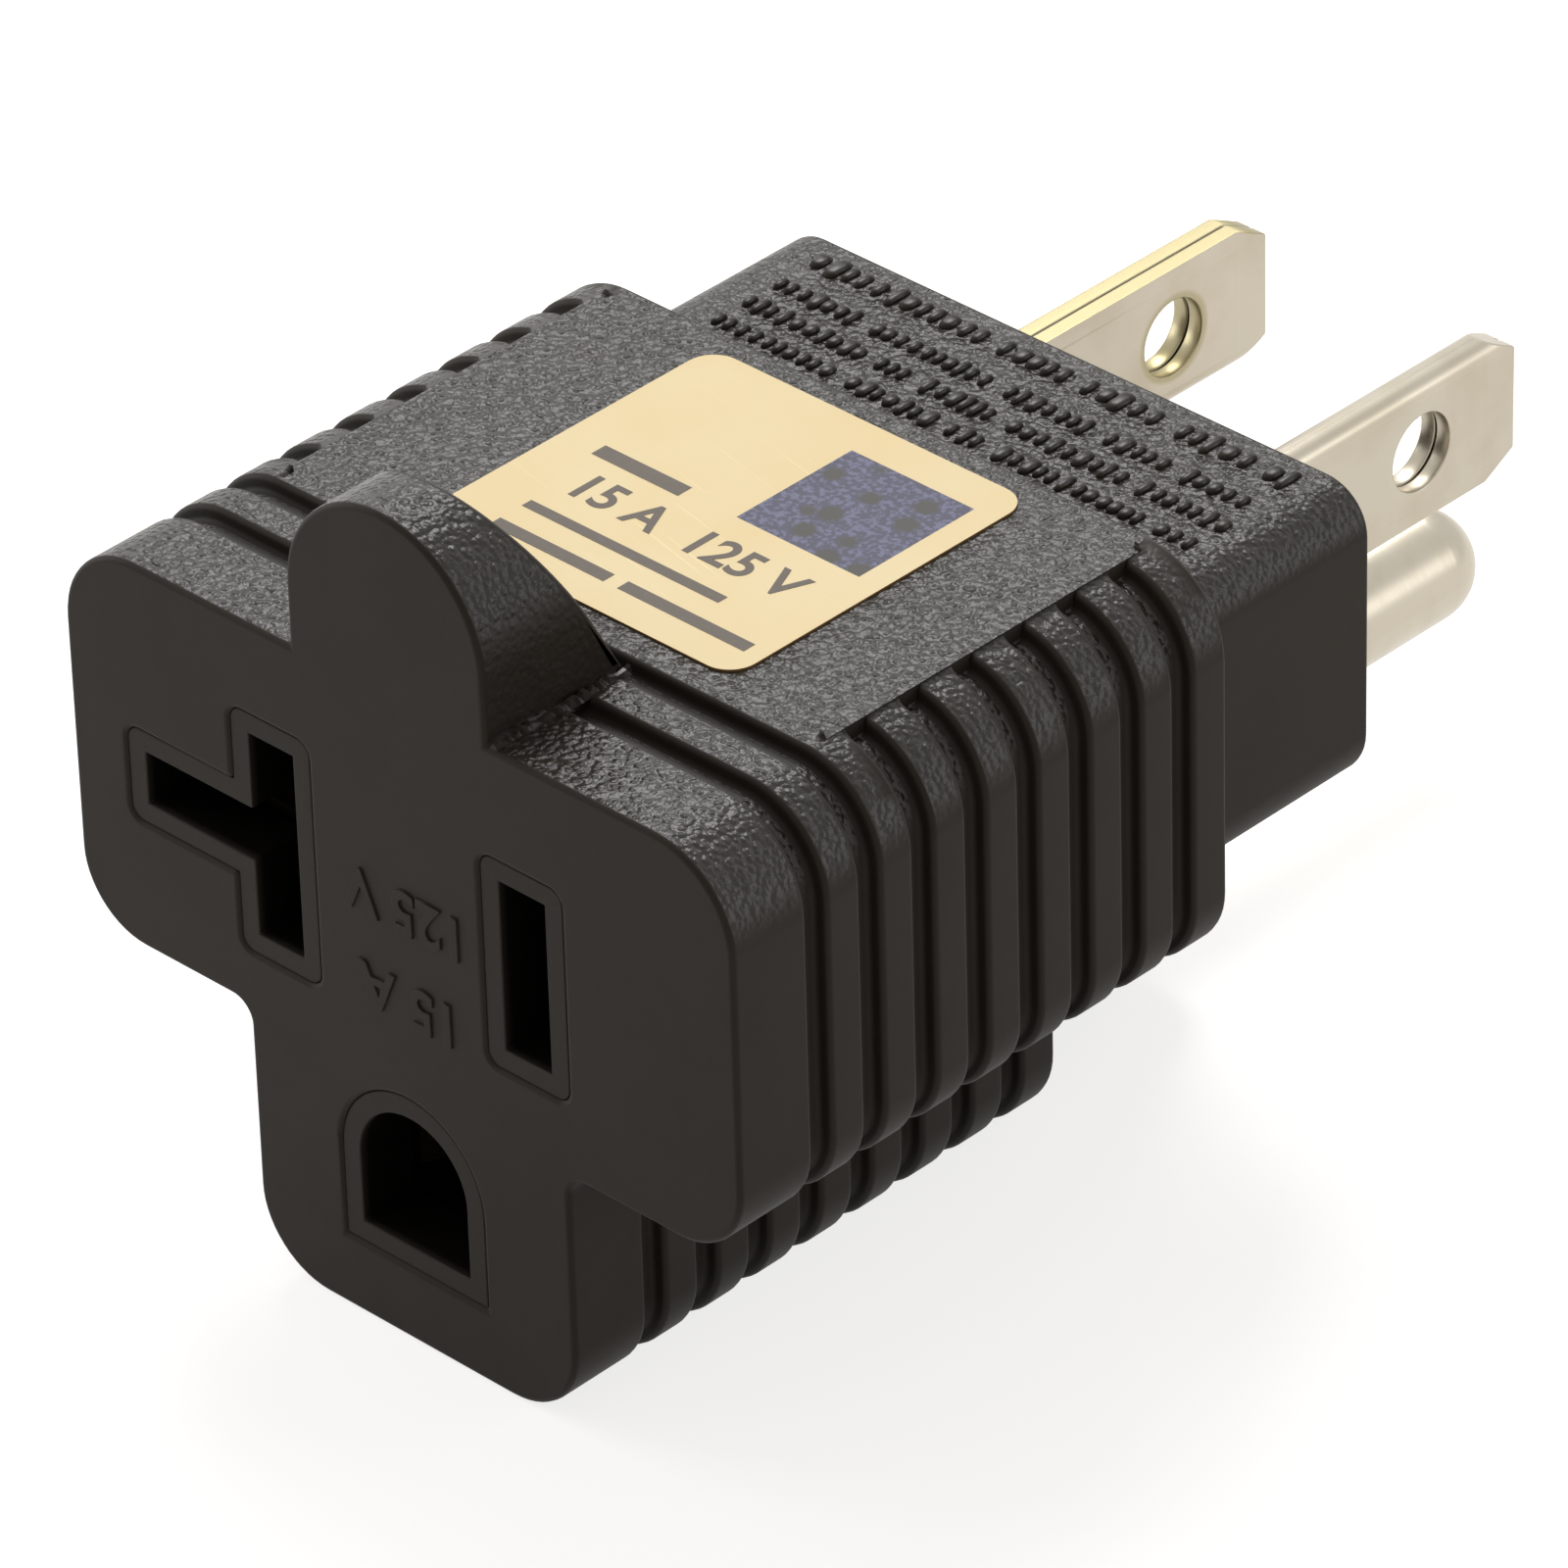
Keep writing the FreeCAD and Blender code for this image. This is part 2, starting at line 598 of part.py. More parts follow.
def make_ground_pin():
    """Turned earth pin: round nose, shank, thicker root with a flange, and a peened spigot."""
    body = new_body("ground_pin")
    body.setExpression("Placement.Base.z", "-Dims.ground_drop")
    half = new_sketch(body, "half", "XY_Plane")
    pin_outline(half)
    turned = body.newObject("PartDesign::Revolution", "ground_pin_turned")
    turned.Profile = half
    turned.ReferenceAxis = (half, ["V_Axis"])
    turned.Angle = 360
    doc.recompute()
    return body


def leaf(body, name, centre, sign, low, high):
    """A spring leaf that stands upright: it closes to a pinch point and opens at its mouth."""
    profile = new_sketch(body, name, "XY_Plane", low)
    gauge = "Dims.sheet_gauge"
    pinch = f"({LEAF_TIP} - Dims.mouth_length)"

    def at(gap, station, *radius):
        return (f"{centre} + ({sign}) * ({gap})", f"-{station}") + radius

    rounding = "Dims.pinch_round"
    outer_round = f"{rounding} + {gauge}"
    outline(profile, [
        at(BLADE_FACE, RING_FRONT), at(f"{BLADE_FACE} + {gauge}", RING_FRONT),
        at(f"Dims.pinch_gap + {gauge}", pinch, rounding), at(f"Dims.mouth_gap + {gauge}", LEAF_TIP),
        at("Dims.mouth_gap", LEAF_TIP), at("Dims.pinch_gap", pinch, outer_round),
    ])
    return pad(body, f"{name}_leaf", profile, f"{high} - ({low})")


def level_leaf(body, name, sign):
    """A spring leaf of the arm: like the upright ones, turned to grip above or below."""
    profile = new_sketch(body, name, "YZ_Plane", f"-{ARM_CONTACT_END}")
    gauge = "Dims.sheet_gauge"
    pinch = f"({LEAF_TIP} - Dims.mouth_length)"

    def at(gap, station, *radius):
        return (f"-{station}", f"({sign}) * ({gap})") + radius

    rounding = "Dims.pinch_round"
    outer_round = f"{rounding} + {gauge}"
    outline(profile, [
        at(BLADE_FACE, RING_FRONT), at(f"{BLADE_FACE} + {gauge}", RING_FRONT),
        at(f"Dims.pinch_gap + {gauge}", pinch, rounding), at(f"Dims.mouth_gap + {gauge}", LEAF_TIP),
        at("Dims.mouth_gap", LEAF_TIP), at("Dims.pinch_gap", pinch, outer_round),
    ])
    return pad(body, f"{name}_leaf", profile, f"{ARM_CONTACT_END} - Dims.arm_leaf_inner")


def strap(body, centre, sign):
    """The strip that runs back along the blade's tail and is joined to it."""
    tail = section(body, "strap", f"{STRAP_FLOOR} + Dims.strap_clearance")
    near, far = f"{centre} + ({sign}) * {BLADE_FACE}", f"({BLADE_FACE} + Dims.sheet_gauge)"
    far = f"{centre} + ({sign}) * {far}"
    left, right = (near, far) if sign > 0 else (far, near)
    box_outline(tail, left, right, "-Dims.leaf_half", "Dims.leaf_half")
    pad(body, "strap_strip", tail, f"Dims.ring_back - {STRAP_FLOOR} - Dims.strap_clearance")


# The contact's folded ring: the web passes below the blade that is plugged in.
WEB_TOP = "(Dims.blade_width / 2 + Dims.web_clearance)"
WEB_FOOT = f"({WEB_TOP} + Dims.sheet_gauge)"
WALL_OUT = f"({BLADE_FACE} + Dims.sheet_gauge)"


def make_hot_contact():
    """A trough of folded sheet with a pair of spring leaves and a strap to the blade."""
    body = new_body("hot_contact")
    inner, outer = BLADE_FACE, WALL_OUT
    ring = section(body, "ring", "Dims.ring_back")
    fold = "Dims.fold_round + Dims.sheet_gauge"
    outline(ring, [
        (f"{POLE} - {outer}", f"-{WEB_FOOT}", fold), (f"{POLE} + {outer}", f"-{WEB_FOOT}", fold),
        (f"{POLE} + {outer}", "Dims.leaf_half"), (f"{POLE} + {inner}", "Dims.leaf_half"),
        (f"{POLE} + {inner}", f"-{WEB_TOP}", "Dims.fold_round"),
        (f"{POLE} - {inner}", f"-{WEB_TOP}", "Dims.fold_round"),
        (f"{POLE} - {inner}", "Dims.leaf_half"), (f"{POLE} - {outer}", "Dims.leaf_half"),
    ])
    pad(body, "trough", ring, "Dims.ring_depth")
    for name, sign in (("left", -1), ("right", 1)):
        leaf(body, name, POLE, sign, "-Dims.leaf_half", "Dims.leaf_half")
    strap(body, POLE, 1)
    return body


def make_neutral_contact():
    """One folded sheet with two pairs of leaves, for an upright and for a level blade."""
    body = new_body("neutral_contact")
    centre = f"-{POLE}"
    inner, outer = BLADE_FACE, WALL_OUT
    end = ARM_CONTACT_END
    top = "Dims.leaf_half"
    fold = "Dims.fold_round"
    wide = f"{fold} + Dims.sheet_gauge"
    ring = section(body, "ring", "Dims.ring_back")
    outline(ring, [
        (f"{centre} - {outer}", f"-{WEB_FOOT}", wide), (f"{centre} + {outer}", f"-{WEB_FOOT}", wide),
        (f"{centre} + {outer}", top), (f"{centre} + {inner}", top),
        (f"{centre} + {inner}", f"-{WEB_TOP}", fold), (f"{centre} - {inner}", f"-{WEB_TOP}", fold),
        (f"{centre} - {inner}", f"-{inner}"), (f"-({end} - Dims.sheet_gauge)", f"-{inner}", fold),
        (f"-({end} - Dims.sheet_gauge)", inner, fold), (f"{centre} - {inner}", inner),
        (f"{centre} - {inner}", top), (f"{centre} - {outer}", top),
        (f"{centre} - {outer}", outer), (f"-{end}", outer, wide),
        (f"-{end}", f"-{outer}", wide), (f"{centre} - {outer}", f"-{outer}"),
    ])
    pad(body, "trough", ring, "Dims.ring_depth")
    leaf(body, "inner", centre, 1, "-Dims.leaf_half", "Dims.leaf_half")
    leaf(body, "outer_high", centre, -1, "Dims.finger_inner", "Dims.leaf_half")
    leaf(body, "outer_low", centre, -1, "-Dims.leaf_half", "-Dims.finger_inner")
    level_leaf(body, "arm_high", 1)
    level_leaf(body, "arm_low", -1)
    strap(body, centre, 1)
    return body


def make_ground_contact():
    """A folded U whose two leaves grip the earth pin, riveted to the pin by its own spigot."""
    body = new_body("ground_contact")
    body.setExpression("Placement.Base.z", "-Dims.ground_drop")
    gauge, base = "Dims.sheet_gauge", "Dims.ground_leaf_base"
    pinch_at = f"-({LEAF_TIP} - Dims.mouth_length)"
    floor, plate = f"-{GROUND_FLOOR}", f"-({GROUND_FLOOR} + Dims.ground_plate)"
    tip = f"-{LEAF_TIP}"
    mouth, pinch = "Dims.ground_mouth_gap", "Dims.ground_pinch_gap"
    fold = "Dims.fold_round"
    rounding = "Dims.pinch_round"
    right = [
        (f"{base} + {gauge}", floor, f"{fold} + {gauge}"), (f"{pinch} + {gauge}", pinch_at, rounding),
        (f"{mouth} + {gauge}", tip), (mouth, tip), (pinch, pinch_at, f"{rounding} + {gauge}"),
        (base, plate, fold),
    ]
    left = [(f"-({across})", *rest) for across, *rest in reversed(right)]
    profile = new_sketch(body, "profile", "XY_Plane", "-Dims.ground_leaf_half")
    outline(profile, right + left)
    pad(body, "strip", profile, "2 * Dims.ground_leaf_half")
    hole = section(body, "spigot_hole", GROUND_FLOOR)
    circle_outline(hole, "0", "0", "Dims.spigot_radius")
    cut(body, "spigot_way", hole, "Dims.ground_plate")
    return body


def make_rating_label():
    """A thin foil label with rounded corners, stuck on the plain top."""
    body = new_body("rating_label")
    sheet_form = new_sketch(body, "form", "XY_Plane", "Dims.top_rise")
    front = "-(Dims.body_depth - Dims.label_front)"
    half = "Dims.label_width / 2"
    box_outline(sheet_form, f"Dims.label_shift - {half}", f"Dims.label_shift + {half}",
                front, f"{front} + Dims.label_length", "Dims.label_corner")
    pad(body, "foil", sheet_form, "Dims.label_thick")
    return body


def check_document(parts):
    for item in doc.Objects:
        if "Invalid" in item.State or "Error" in item.State:
            raise RuntimeError(f"{item.Name} failed: {item.State}")
    for part in parts:
        if part.Shape.isNull() or not part.Shape.isValid() or not part.Shape.Solids:
            raise RuntimeError(f"{part.Label} has no valid solid")


def main():
    fill_sheet()
    parts = [
        make_overmould_body(),
        make_receptacle_insert(),
        make_contact_carrier(),
        make_blade("hot_blade", 1, True),
        make_blade("neutral_blade", -1, False),
        make_ground_pin(),
        make_hot_contact(),
        make_neutral_contact(),
        make_ground_contact(),
        make_rating_label(),
    ]
    doc.recompute()
    check_document(parts)
    os.makedirs("parts", exist_ok=True)
    for part in parts:
        part.Shape.exportStep(f"parts/{part.Label}.step")
        print(part.Label, round(part.Shape.Volume, 2), len(part.Shape.Solids))


main()
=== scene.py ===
"""Studio scene of the moulded plug adapter: finishes, small moulded details, foil print and stage.

Lengths are metres in the part's own frame: +X is right when the socket face is looked at, +Y points
out along the blades and +Z is up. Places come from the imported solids, sizes from the values below.
"""
import math
import random

import bmesh
import bpy
from bpy.props import FloatProperty, FloatVectorProperty, PointerProperty
from mathutils import Matrix, Vector


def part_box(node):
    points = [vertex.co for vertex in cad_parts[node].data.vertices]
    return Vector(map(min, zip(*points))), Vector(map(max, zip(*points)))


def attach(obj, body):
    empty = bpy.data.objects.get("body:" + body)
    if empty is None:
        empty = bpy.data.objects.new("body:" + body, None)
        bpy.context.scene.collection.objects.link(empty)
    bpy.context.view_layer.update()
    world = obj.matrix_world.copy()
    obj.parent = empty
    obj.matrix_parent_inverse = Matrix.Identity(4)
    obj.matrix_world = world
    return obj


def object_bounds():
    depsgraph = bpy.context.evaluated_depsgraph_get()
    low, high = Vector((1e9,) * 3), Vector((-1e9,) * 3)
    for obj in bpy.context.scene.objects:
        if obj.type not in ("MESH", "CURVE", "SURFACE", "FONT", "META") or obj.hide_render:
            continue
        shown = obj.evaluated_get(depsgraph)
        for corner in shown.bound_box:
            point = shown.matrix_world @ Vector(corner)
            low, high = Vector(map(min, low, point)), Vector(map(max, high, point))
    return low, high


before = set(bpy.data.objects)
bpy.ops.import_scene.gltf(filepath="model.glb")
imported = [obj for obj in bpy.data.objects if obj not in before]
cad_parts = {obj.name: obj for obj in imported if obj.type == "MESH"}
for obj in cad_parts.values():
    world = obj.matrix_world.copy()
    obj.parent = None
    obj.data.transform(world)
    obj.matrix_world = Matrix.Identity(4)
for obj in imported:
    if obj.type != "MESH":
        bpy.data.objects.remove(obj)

bl_info = {
    "name": "Plug Adapter Scene",
    "version": (1, 0, 0),
    "blender": (4, 5, 0),
    "location": "View3D > Sidebar > Adapter",
    "description": "Finishes, moulded details, foil print and stage for a moulded plug adapter",
    "category": "Object",
}

MM = 0.001
CAD_BOX = [list(corner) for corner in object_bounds()]

BODY_LOW, BODY_HIGH = (Vector(corner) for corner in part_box("overmould_body"))
LABEL_LOW, LABEL_HIGH = (Vector(corner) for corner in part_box("rating_label"))
BLADE_HIGH = Vector(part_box("hot_blade")[1])
PIN_LOW, PIN_HIGH = (Vector(corner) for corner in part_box("ground_pin"))
FACE_Y = BODY_LOW.y
TOP_Z = LABEL_LOW.z

# The rear block stands behind the ribbed body and lower than it.
REAR_BLOCK_Y = -10.3 * MM
REAR_TOP_Z = 7.0 * MM
GROOVE_DEPTH = 0.65 * MM
BLADE_HOLE_Y = 11.8 * MM
BLADE_HOLE_RADIUS = 1.65 * MM
# The plain top stops here, where the grooves end in notches.
SHOULDER_X = 13.6 * MM

# Socket numbers of the Mix node's colours and of the Map Range node's limits.
MIX_FIRST, MIX_SECOND, MIX_RESULT = 6, 7, 2
FROM_MIN, FROM_MAX, TO_MIN, TO_MAX = 1, 2, 3, 4

# An edge with a sharper turn than this is rounded. Flats are joined where they turn less.
SHARP_TURN = math.radians(40)
FLAT_TURN = math.radians(0.5)
# Corners of the solids that are closer than this are one corner.
SAME_CORNER = 0.001 * MM
# Share of the outline and of the height, at each ring of a raised pad from its sunk foot to its crown.
PAD_RINGS = ((1.0, -0.2), (1.0, 0.2), (0.85, 0.75), (0.55, 1.0))


def linear(hex_colour):
    """An sRGB hex colour as linear red, green and blue."""
    parts = [int(hex_colour[i:i + 2], 16) / 255 for i in (1, 3, 5)]
    return tuple(c / 12.92 if c <= 0.04045 else ((c + 0.055) / 1.055) ** 2.4 for c in parts)


def colour_property(name, description, hex_colour):
    return FloatVectorProperty(name=name, description=description, subtype="COLOR", size=3,
                               min=0, max=1, default=linear(hex_colour))


def length_property(name, description, millimetres):
    return FloatProperty(name=name, description=description, unit="LENGTH", subtype="DISTANCE",
                         min=0, precision=5, default=millimetres * MM)


def power_property(name, description, watts):
    return FloatProperty(name=name, description=description, unit="POWER", min=0, precision=3,
                         default=watts)


class MouldingSettings(bpy.types.PropertyGroup):
    vinyl: colour_property("Vinyl", "Colour of the soft outer moulding", "#312d28")
    dust: colour_property("Dusty vinyl", "Colour where the moulding holds a little dust", "#3a352f")
    insert: colour_property("Insert", "Colour of the hard socket insert", "#332f2a")
    # Painted shade: the insert's walls behind the face take this near black, standing in for the
    # shadow deep in the slots.
    core: colour_property("Core", "Colour of the insert's inner walls", "#141210")
    grain_length: length_property("Grain length", "Size of one pebble of the grain", 0.26)
    grain_height: length_property("Grain height", "Depth of the grain", 0.1)
    edge_round: length_property("Edge round", "Radius of the moulded edges", 0.24)
    rim_round: length_property("Rim round", "Radius of the insert's edges", 0.07)


class MetalSettings(bpy.types.PropertyGroup):
    nickel: colour_property("Nickel", "Colour of the satin nickel plate", "#bdb5a5")
    nickel_worn: colour_property("Worn nickel", "Colour where the plate is thin", "#aca28d")
    brass: colour_property("Brass", "Colour of the bare sheared brass", "#a09673")
    # Painted shade: brass darkened well past its own tone, so the contacts stay dark inside the slots.
    shaded_spring: colour_property("Spring brass", "Colour of the contacts", "#4f4530")
    edge_break: length_property("Edge break", "Radius of the sheet's edges", 0.07)
    border: length_property("Coined border", "Width of the pressed border of a blade", 0.72)


class LabelSettings(bpy.types.PropertyGroup):
    foil: colour_property("Foil", "Colour of the pale gold foil", "#d3c298")
    foil_edge: colour_property("Foil edge", "Colour of the cut edge of the foil", "#8a6a3c")
    patch: colour_property("Patch", "Ground colour of the dark patch", "#4a4a60")
    patch_spot: colour_property("Patch spots", "Colour of the spots in the patch", "#42403b")
    ink: colour_property("Ink", "Colour of the printing", "#564a3c")
    number_size: length_property("Number size", "Size of the printed numbers", 2.3)


class DetailSettings(bpy.types.PropertyGroup):
    mark_height: length_property("Mark height", "Height of the raised marks", 0.2)
    tick_width: length_property("Tick width", "Width of one raised tick", 0.28)
    tick_length: length_property("Tick length", "Length of one raised tick", 1.15)
    flash_height: length_property("Flash height", "Height of the flash beside the tab", 0.3)
    number_size: length_property("Number size", "Size of the raised numbers on the face", 2.6)


class StageSettings(bpy.types.PropertyGroup):
    floor: colour_property("Floor", "Colour of the floor", "#cfcecc")
    floor_glow: FloatProperty(name="Floor glow", description="Light that whitens the floor to the eye",
                              min=0, default=0.78)
    fill: colour_property("Fill", "Colour of the soft light from all sides", "#fff4e8")
    fill_strength: FloatProperty(name="Fill strength", description="Soft light from all sides",
                                 min=0, default=0.26)
    key_power: power_property("Key power", "Power of the large lamp behind the part", 2.2)
    left_power: power_property("Left power", "Power of the small lamp on the left", 0.033)
    right_power: power_property("Right power", "Power of the small lamp on the right", 0.022)
    azimuth: FloatProperty(name="Azimuth", description="Camera angle round the part", unit="ROTATION",
                           default=math.radians(44.529))
    elevation: FloatProperty(name="Elevation", description="Camera angle above the floor",
                             unit="ROTATION", default=math.radians(33.586))
    roll: FloatProperty(name="Roll", description="Turn of the camera on its own axis",
                        unit="ROTATION", default=math.radians(-1.662))
    distance: length_property("Distance", "From the camera to the point it looks at", 400)
    lens: FloatProperty(name="Lens", description="Focal length on a 36 mm wide sensor",
                        min=1, default=255.81)
    aim: FloatVectorProperty(name="Aim", description="Point that the camera looks at",
                             subtype="TRANSLATION", unit="LENGTH", precision=5,
                             default=(8.25 * MM, -24.51 * MM, 3.43 * MM))


def add_node(tree, kind, sockets=None, **settings):
    """Adds a node with its settings. Each of the sockets named gets a value or a link."""
    node = tree.nodes.new(kind)
    for name, value in settings.items():
        setattr(node, name, value)
    for key, value in (sockets or {}).items():
        if isinstance(value, bpy.types.NodeSocket):
            tree.links.new(value, node.inputs[key])
        else:
            node.inputs[key].default_value = value
    return node


def new_material(name):
    material = bpy.data.materials.new(name)
    material.use_nodes = True
    material.node_tree.nodes.clear()
    return material, material.node_tree


def opaque(colour):
    return (*colour, 1.0)


def finish_node(name, material):
    """Gives a solid of the frame its finish."""
    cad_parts[name].material_slots[0].material = material


def vinyl_zones(tree, parts, facing):
    """Where the vinyl looks up, where it is the floor of a groove, and where its grain shows.

    The grain stops at the floors of the grooves and where a face leans along Y, at once where it
    leans back. The tab's sides carry a little of it.
    """
    looks_up = add_node(tree, "ShaderNodeMapRange", {
        0: facing["Z"], FROM_MIN: 0.05, FROM_MAX: 0.5}, interpolation_type="SMOOTHSTEP").outputs[0]
    above_top = add_node(tree, "ShaderNodeMath", {0: parts["Z"], 1: TOP_Z + 0.2 * MM},
                         operation="GREATER_THAN").outputs[0]
    sideways = add_node(tree, "ShaderNodeMath", {0: facing["Y"], 1: 0.0, 2: 0.5},
                        operation="COMPARE").outputs[0]
    on_tab = add_node(tree, "ShaderNodeMath", {0: above_top, 1: sideways},
                      operation="MULTIPLY").outputs[0]
    tab_share = 0.35
    grainy = add_node(tree, "ShaderNodeMath", {
        0: looks_up, 1: add_node(tree, "ShaderNodeMath", {0: on_tab, 1: tab_share},
                                 operation="MULTIPLY").outputs[0]},
        operation="MAXIMUM").outputs[0]
    floor_height = add_node(tree, "ShaderNodeMath", {
        0: parts["Z"], 1: TOP_Z - GROOVE_DEPTH, 2: 0.25 * MM}, operation="COMPARE").outputs[0]
    on_body = add_node(tree, "ShaderNodeMath", {0: parts["Y"], 1: REAR_BLOCK_Y - 0.1 * MM},
                       operation="LESS_THAN").outputs[0]
    level = add_node(tree, "ShaderNodeMath", {0: facing["Z"], 1: 0.995},
                     operation="GREATER_THAN").outputs[0]
    in_groove = add_node(tree, "ShaderNodeMath", {
        0: add_node(tree, "ShaderNodeMath", {0: floor_height, 1: on_body},
                    operation="MULTIPLY").outputs[0],
        1: level}, operation="MULTIPLY").outputs[0]
    leans = add_node(tree, "ShaderNodeMapRange", {
        0: add_node(tree, "ShaderNodeMath", {0: facing["Y"]}, operation="ABSOLUTE").outputs[0],
        FROM_MIN: 0.06, FROM_MAX: 0.35}).outputs[0]
    leans_back = add_node(tree, "ShaderNodeMapRange", {
        0: facing["Y"], FROM_MIN: 0.01, FROM_MAX: 0.12}).outputs[0]
    smooth = add_node(tree, "ShaderNodeMath", {
        0: in_groove, 1: add_node(tree, "ShaderNodeMath", {0: leans, 1: leans_back},
                                  operation="MAXIMUM").outputs[0]},
        operation="MAXIMUM").outputs[0]
    grained = add_node(tree, "ShaderNodeMath", {0: grainy, 1: smooth}, use_clamp=True,
                       operation="SUBTRACT").outputs[0]
    return looks_up, in_groove, grained


def spark_grain(tree, settings, place, strength):
    """Pebbles with a ripple across them, as spark erosion leaves them in the tool."""
    pebbles = add_node(tree, "ShaderNodeTexVoronoi", {
        "Vector": place, "Scale": 1 / settings.grain_length, "Smoothness": 0.6},
        feature="SMOOTH_F1").outputs["Distance"]
    ripple = add_node(tree, "ShaderNodeTexNoise", {
        "Vector": place, "Scale": 1 / (1.3 * settings.grain_length), "Detail": 2.0}).outputs[0]
    height = add_node(tree, "ShaderNodeMath", {0: ripple, 1: pebbles},
                      operation="SUBTRACT").outputs[0]
    return add_node(tree, "ShaderNodeBump", {
        "Strength": strength, "Distance": settings.grain_height, "Height": height}).outputs[0]


def soft_vinyl(settings, name, has_grain):
    """Black plasticised PVC from a spark-eroded tool.

    Faces that look up carry a pebbled grain that breaks their sheen into short glints. Upright
    faces came off polished steel, so they are matt and even. Groove floors and the rear edges of
    the ribs are rubbed, and keep half of the sheen.
    """
    material, tree = new_material(name)
    place = add_node(tree, "ShaderNodeTexCoord").outputs["Object"]
    parts = add_node(tree, "ShaderNodeSeparateXYZ", {0: place}).outputs
    facing = add_node(tree, "ShaderNodeSeparateXYZ", {
        0: add_node(tree, "ShaderNodeNewGeometry").outputs["Normal"]}).outputs
    dust_patch = 9 * MM
    dust = add_node(tree, "ShaderNodeTexNoise", {"Vector": place, "Scale": 1 / dust_patch,
                                                 "Detail": 6.0, "Roughness": 0.7}).outputs[0]
    dusty = add_node(tree, "ShaderNodeMapRange", {
        0: dust, FROM_MIN: 0.42, FROM_MAX: 0.75}).outputs[0]
    colour = add_node(tree, "ShaderNodeMix", {
        0: dusty, MIX_FIRST: opaque(settings.vinyl), MIX_SECOND: opaque(settings.dust)},
        data_type="RGBA").outputs[MIX_RESULT]

    looks_up, in_groove, grained = vinyl_zones(tree, parts, facing)
    worn_edge = add_node(tree, "ShaderNodeMapRange", {
        0: facing["Y"], FROM_MIN: 0.1, FROM_MAX: 0.4}).outputs[0]
    rubbed = add_node(tree, "ShaderNodeMath", {
        0: add_node(tree, "ShaderNodeMath", {0: looks_up, 1: worn_edge},
                    operation="MULTIPLY").outputs[0],
        1: in_groove}, operation="MAXIMUM").outputs[0]
    rubbed_share = 0.5
    shiny = add_node(tree, "ShaderNodeMath", {
        0: grained, 1: add_node(tree, "ShaderNodeMath", {0: rubbed, 1: rubbed_share},
                                operation="MULTIPLY").outputs[0]},
        operation="MAXIMUM").outputs[0]
    surface = {
        "Base Color": colour, "IOR": 1.53,
        "Roughness": add_node(tree, "ShaderNodeMapRange", {
            0: grained, TO_MIN: 0.55, TO_MAX: 0.32}).outputs[0],
        "Specular IOR Level": add_node(tree, "ShaderNodeMapRange", {
            0: shiny, TO_MIN: 0.12, TO_MAX: 0.34}).outputs[0],
    }
    if has_grain:
        surface["Normal"] = spark_grain(tree, settings, place, grained)
    shader = add_node(tree, "ShaderNodeBsdfPrincipled", surface).outputs[0]
    add_node(tree, "ShaderNodeOutputMaterial", {"Surface": shader})
    return material


def hard_plastic(settings):
    """Black glass-filled nylon, moulded: even and as dark as the vinyl on the collars. Behind them, on
    the walls inside the slots, it turns dead black with almost no sheen: painted shade for the dark
    slots."""
    material, tree = new_material("black_nylon_moulded")
    place = add_node(tree, "ShaderNodeTexCoord").outputs["Object"]
    depth = add_node(tree, "ShaderNodeSeparateXYZ", {0: place}).outputs["Y"]
    # Painted shade: from just behind the face the colour turns to the near-black slot shade and the
    # sheen drops.
    behind = add_node(tree, "ShaderNodeMapRange", {
        0: depth, FROM_MIN: FACE_Y + 0.15 * MM, FROM_MAX: FACE_Y + 0.5 * MM}).outputs[0]
    colour = add_node(tree, "ShaderNodeMix", {
        0: behind, MIX_FIRST: opaque(settings.insert), MIX_SECOND: opaque(settings.core)},
        data_type="RGBA").outputs[MIX_RESULT]
    sheen = add_node(tree, "ShaderNodeMapRange", {0: behind, TO_MIN: 0.12, TO_MAX: 0.02}).outputs[0]
    # Glass fibres are finer than this. They are drawn coarse enough to show.
    glass_fibre = 0.3 * MM
    speckle = add_node(tree, "ShaderNodeTexNoise", {"Vector": place, "Scale": 1 / glass_fibre,
                                                    "Detail": 3.0}).outputs[0]
    roughness = add_node(tree, "ShaderNodeMapRange", {
        0: speckle, TO_MIN: 0.48, TO_MAX: 0.62}).outputs[0]
    bump = add_node(tree, "ShaderNodeBump", {"Strength": 0.25, "Distance": 0.01 * MM,
                                             "Height": speckle}).outputs[0]
    shader = add_node(tree, "ShaderNodeBsdfPrincipled", {
        "Base Color": colour, "Roughness": roughness, "IOR": 1.53,
        "Specular IOR Level": sheen, "Normal": bump}).outputs[0]
    add_node(tree, "ShaderNodeOutputMaterial", {"Surface": shader})
    return material


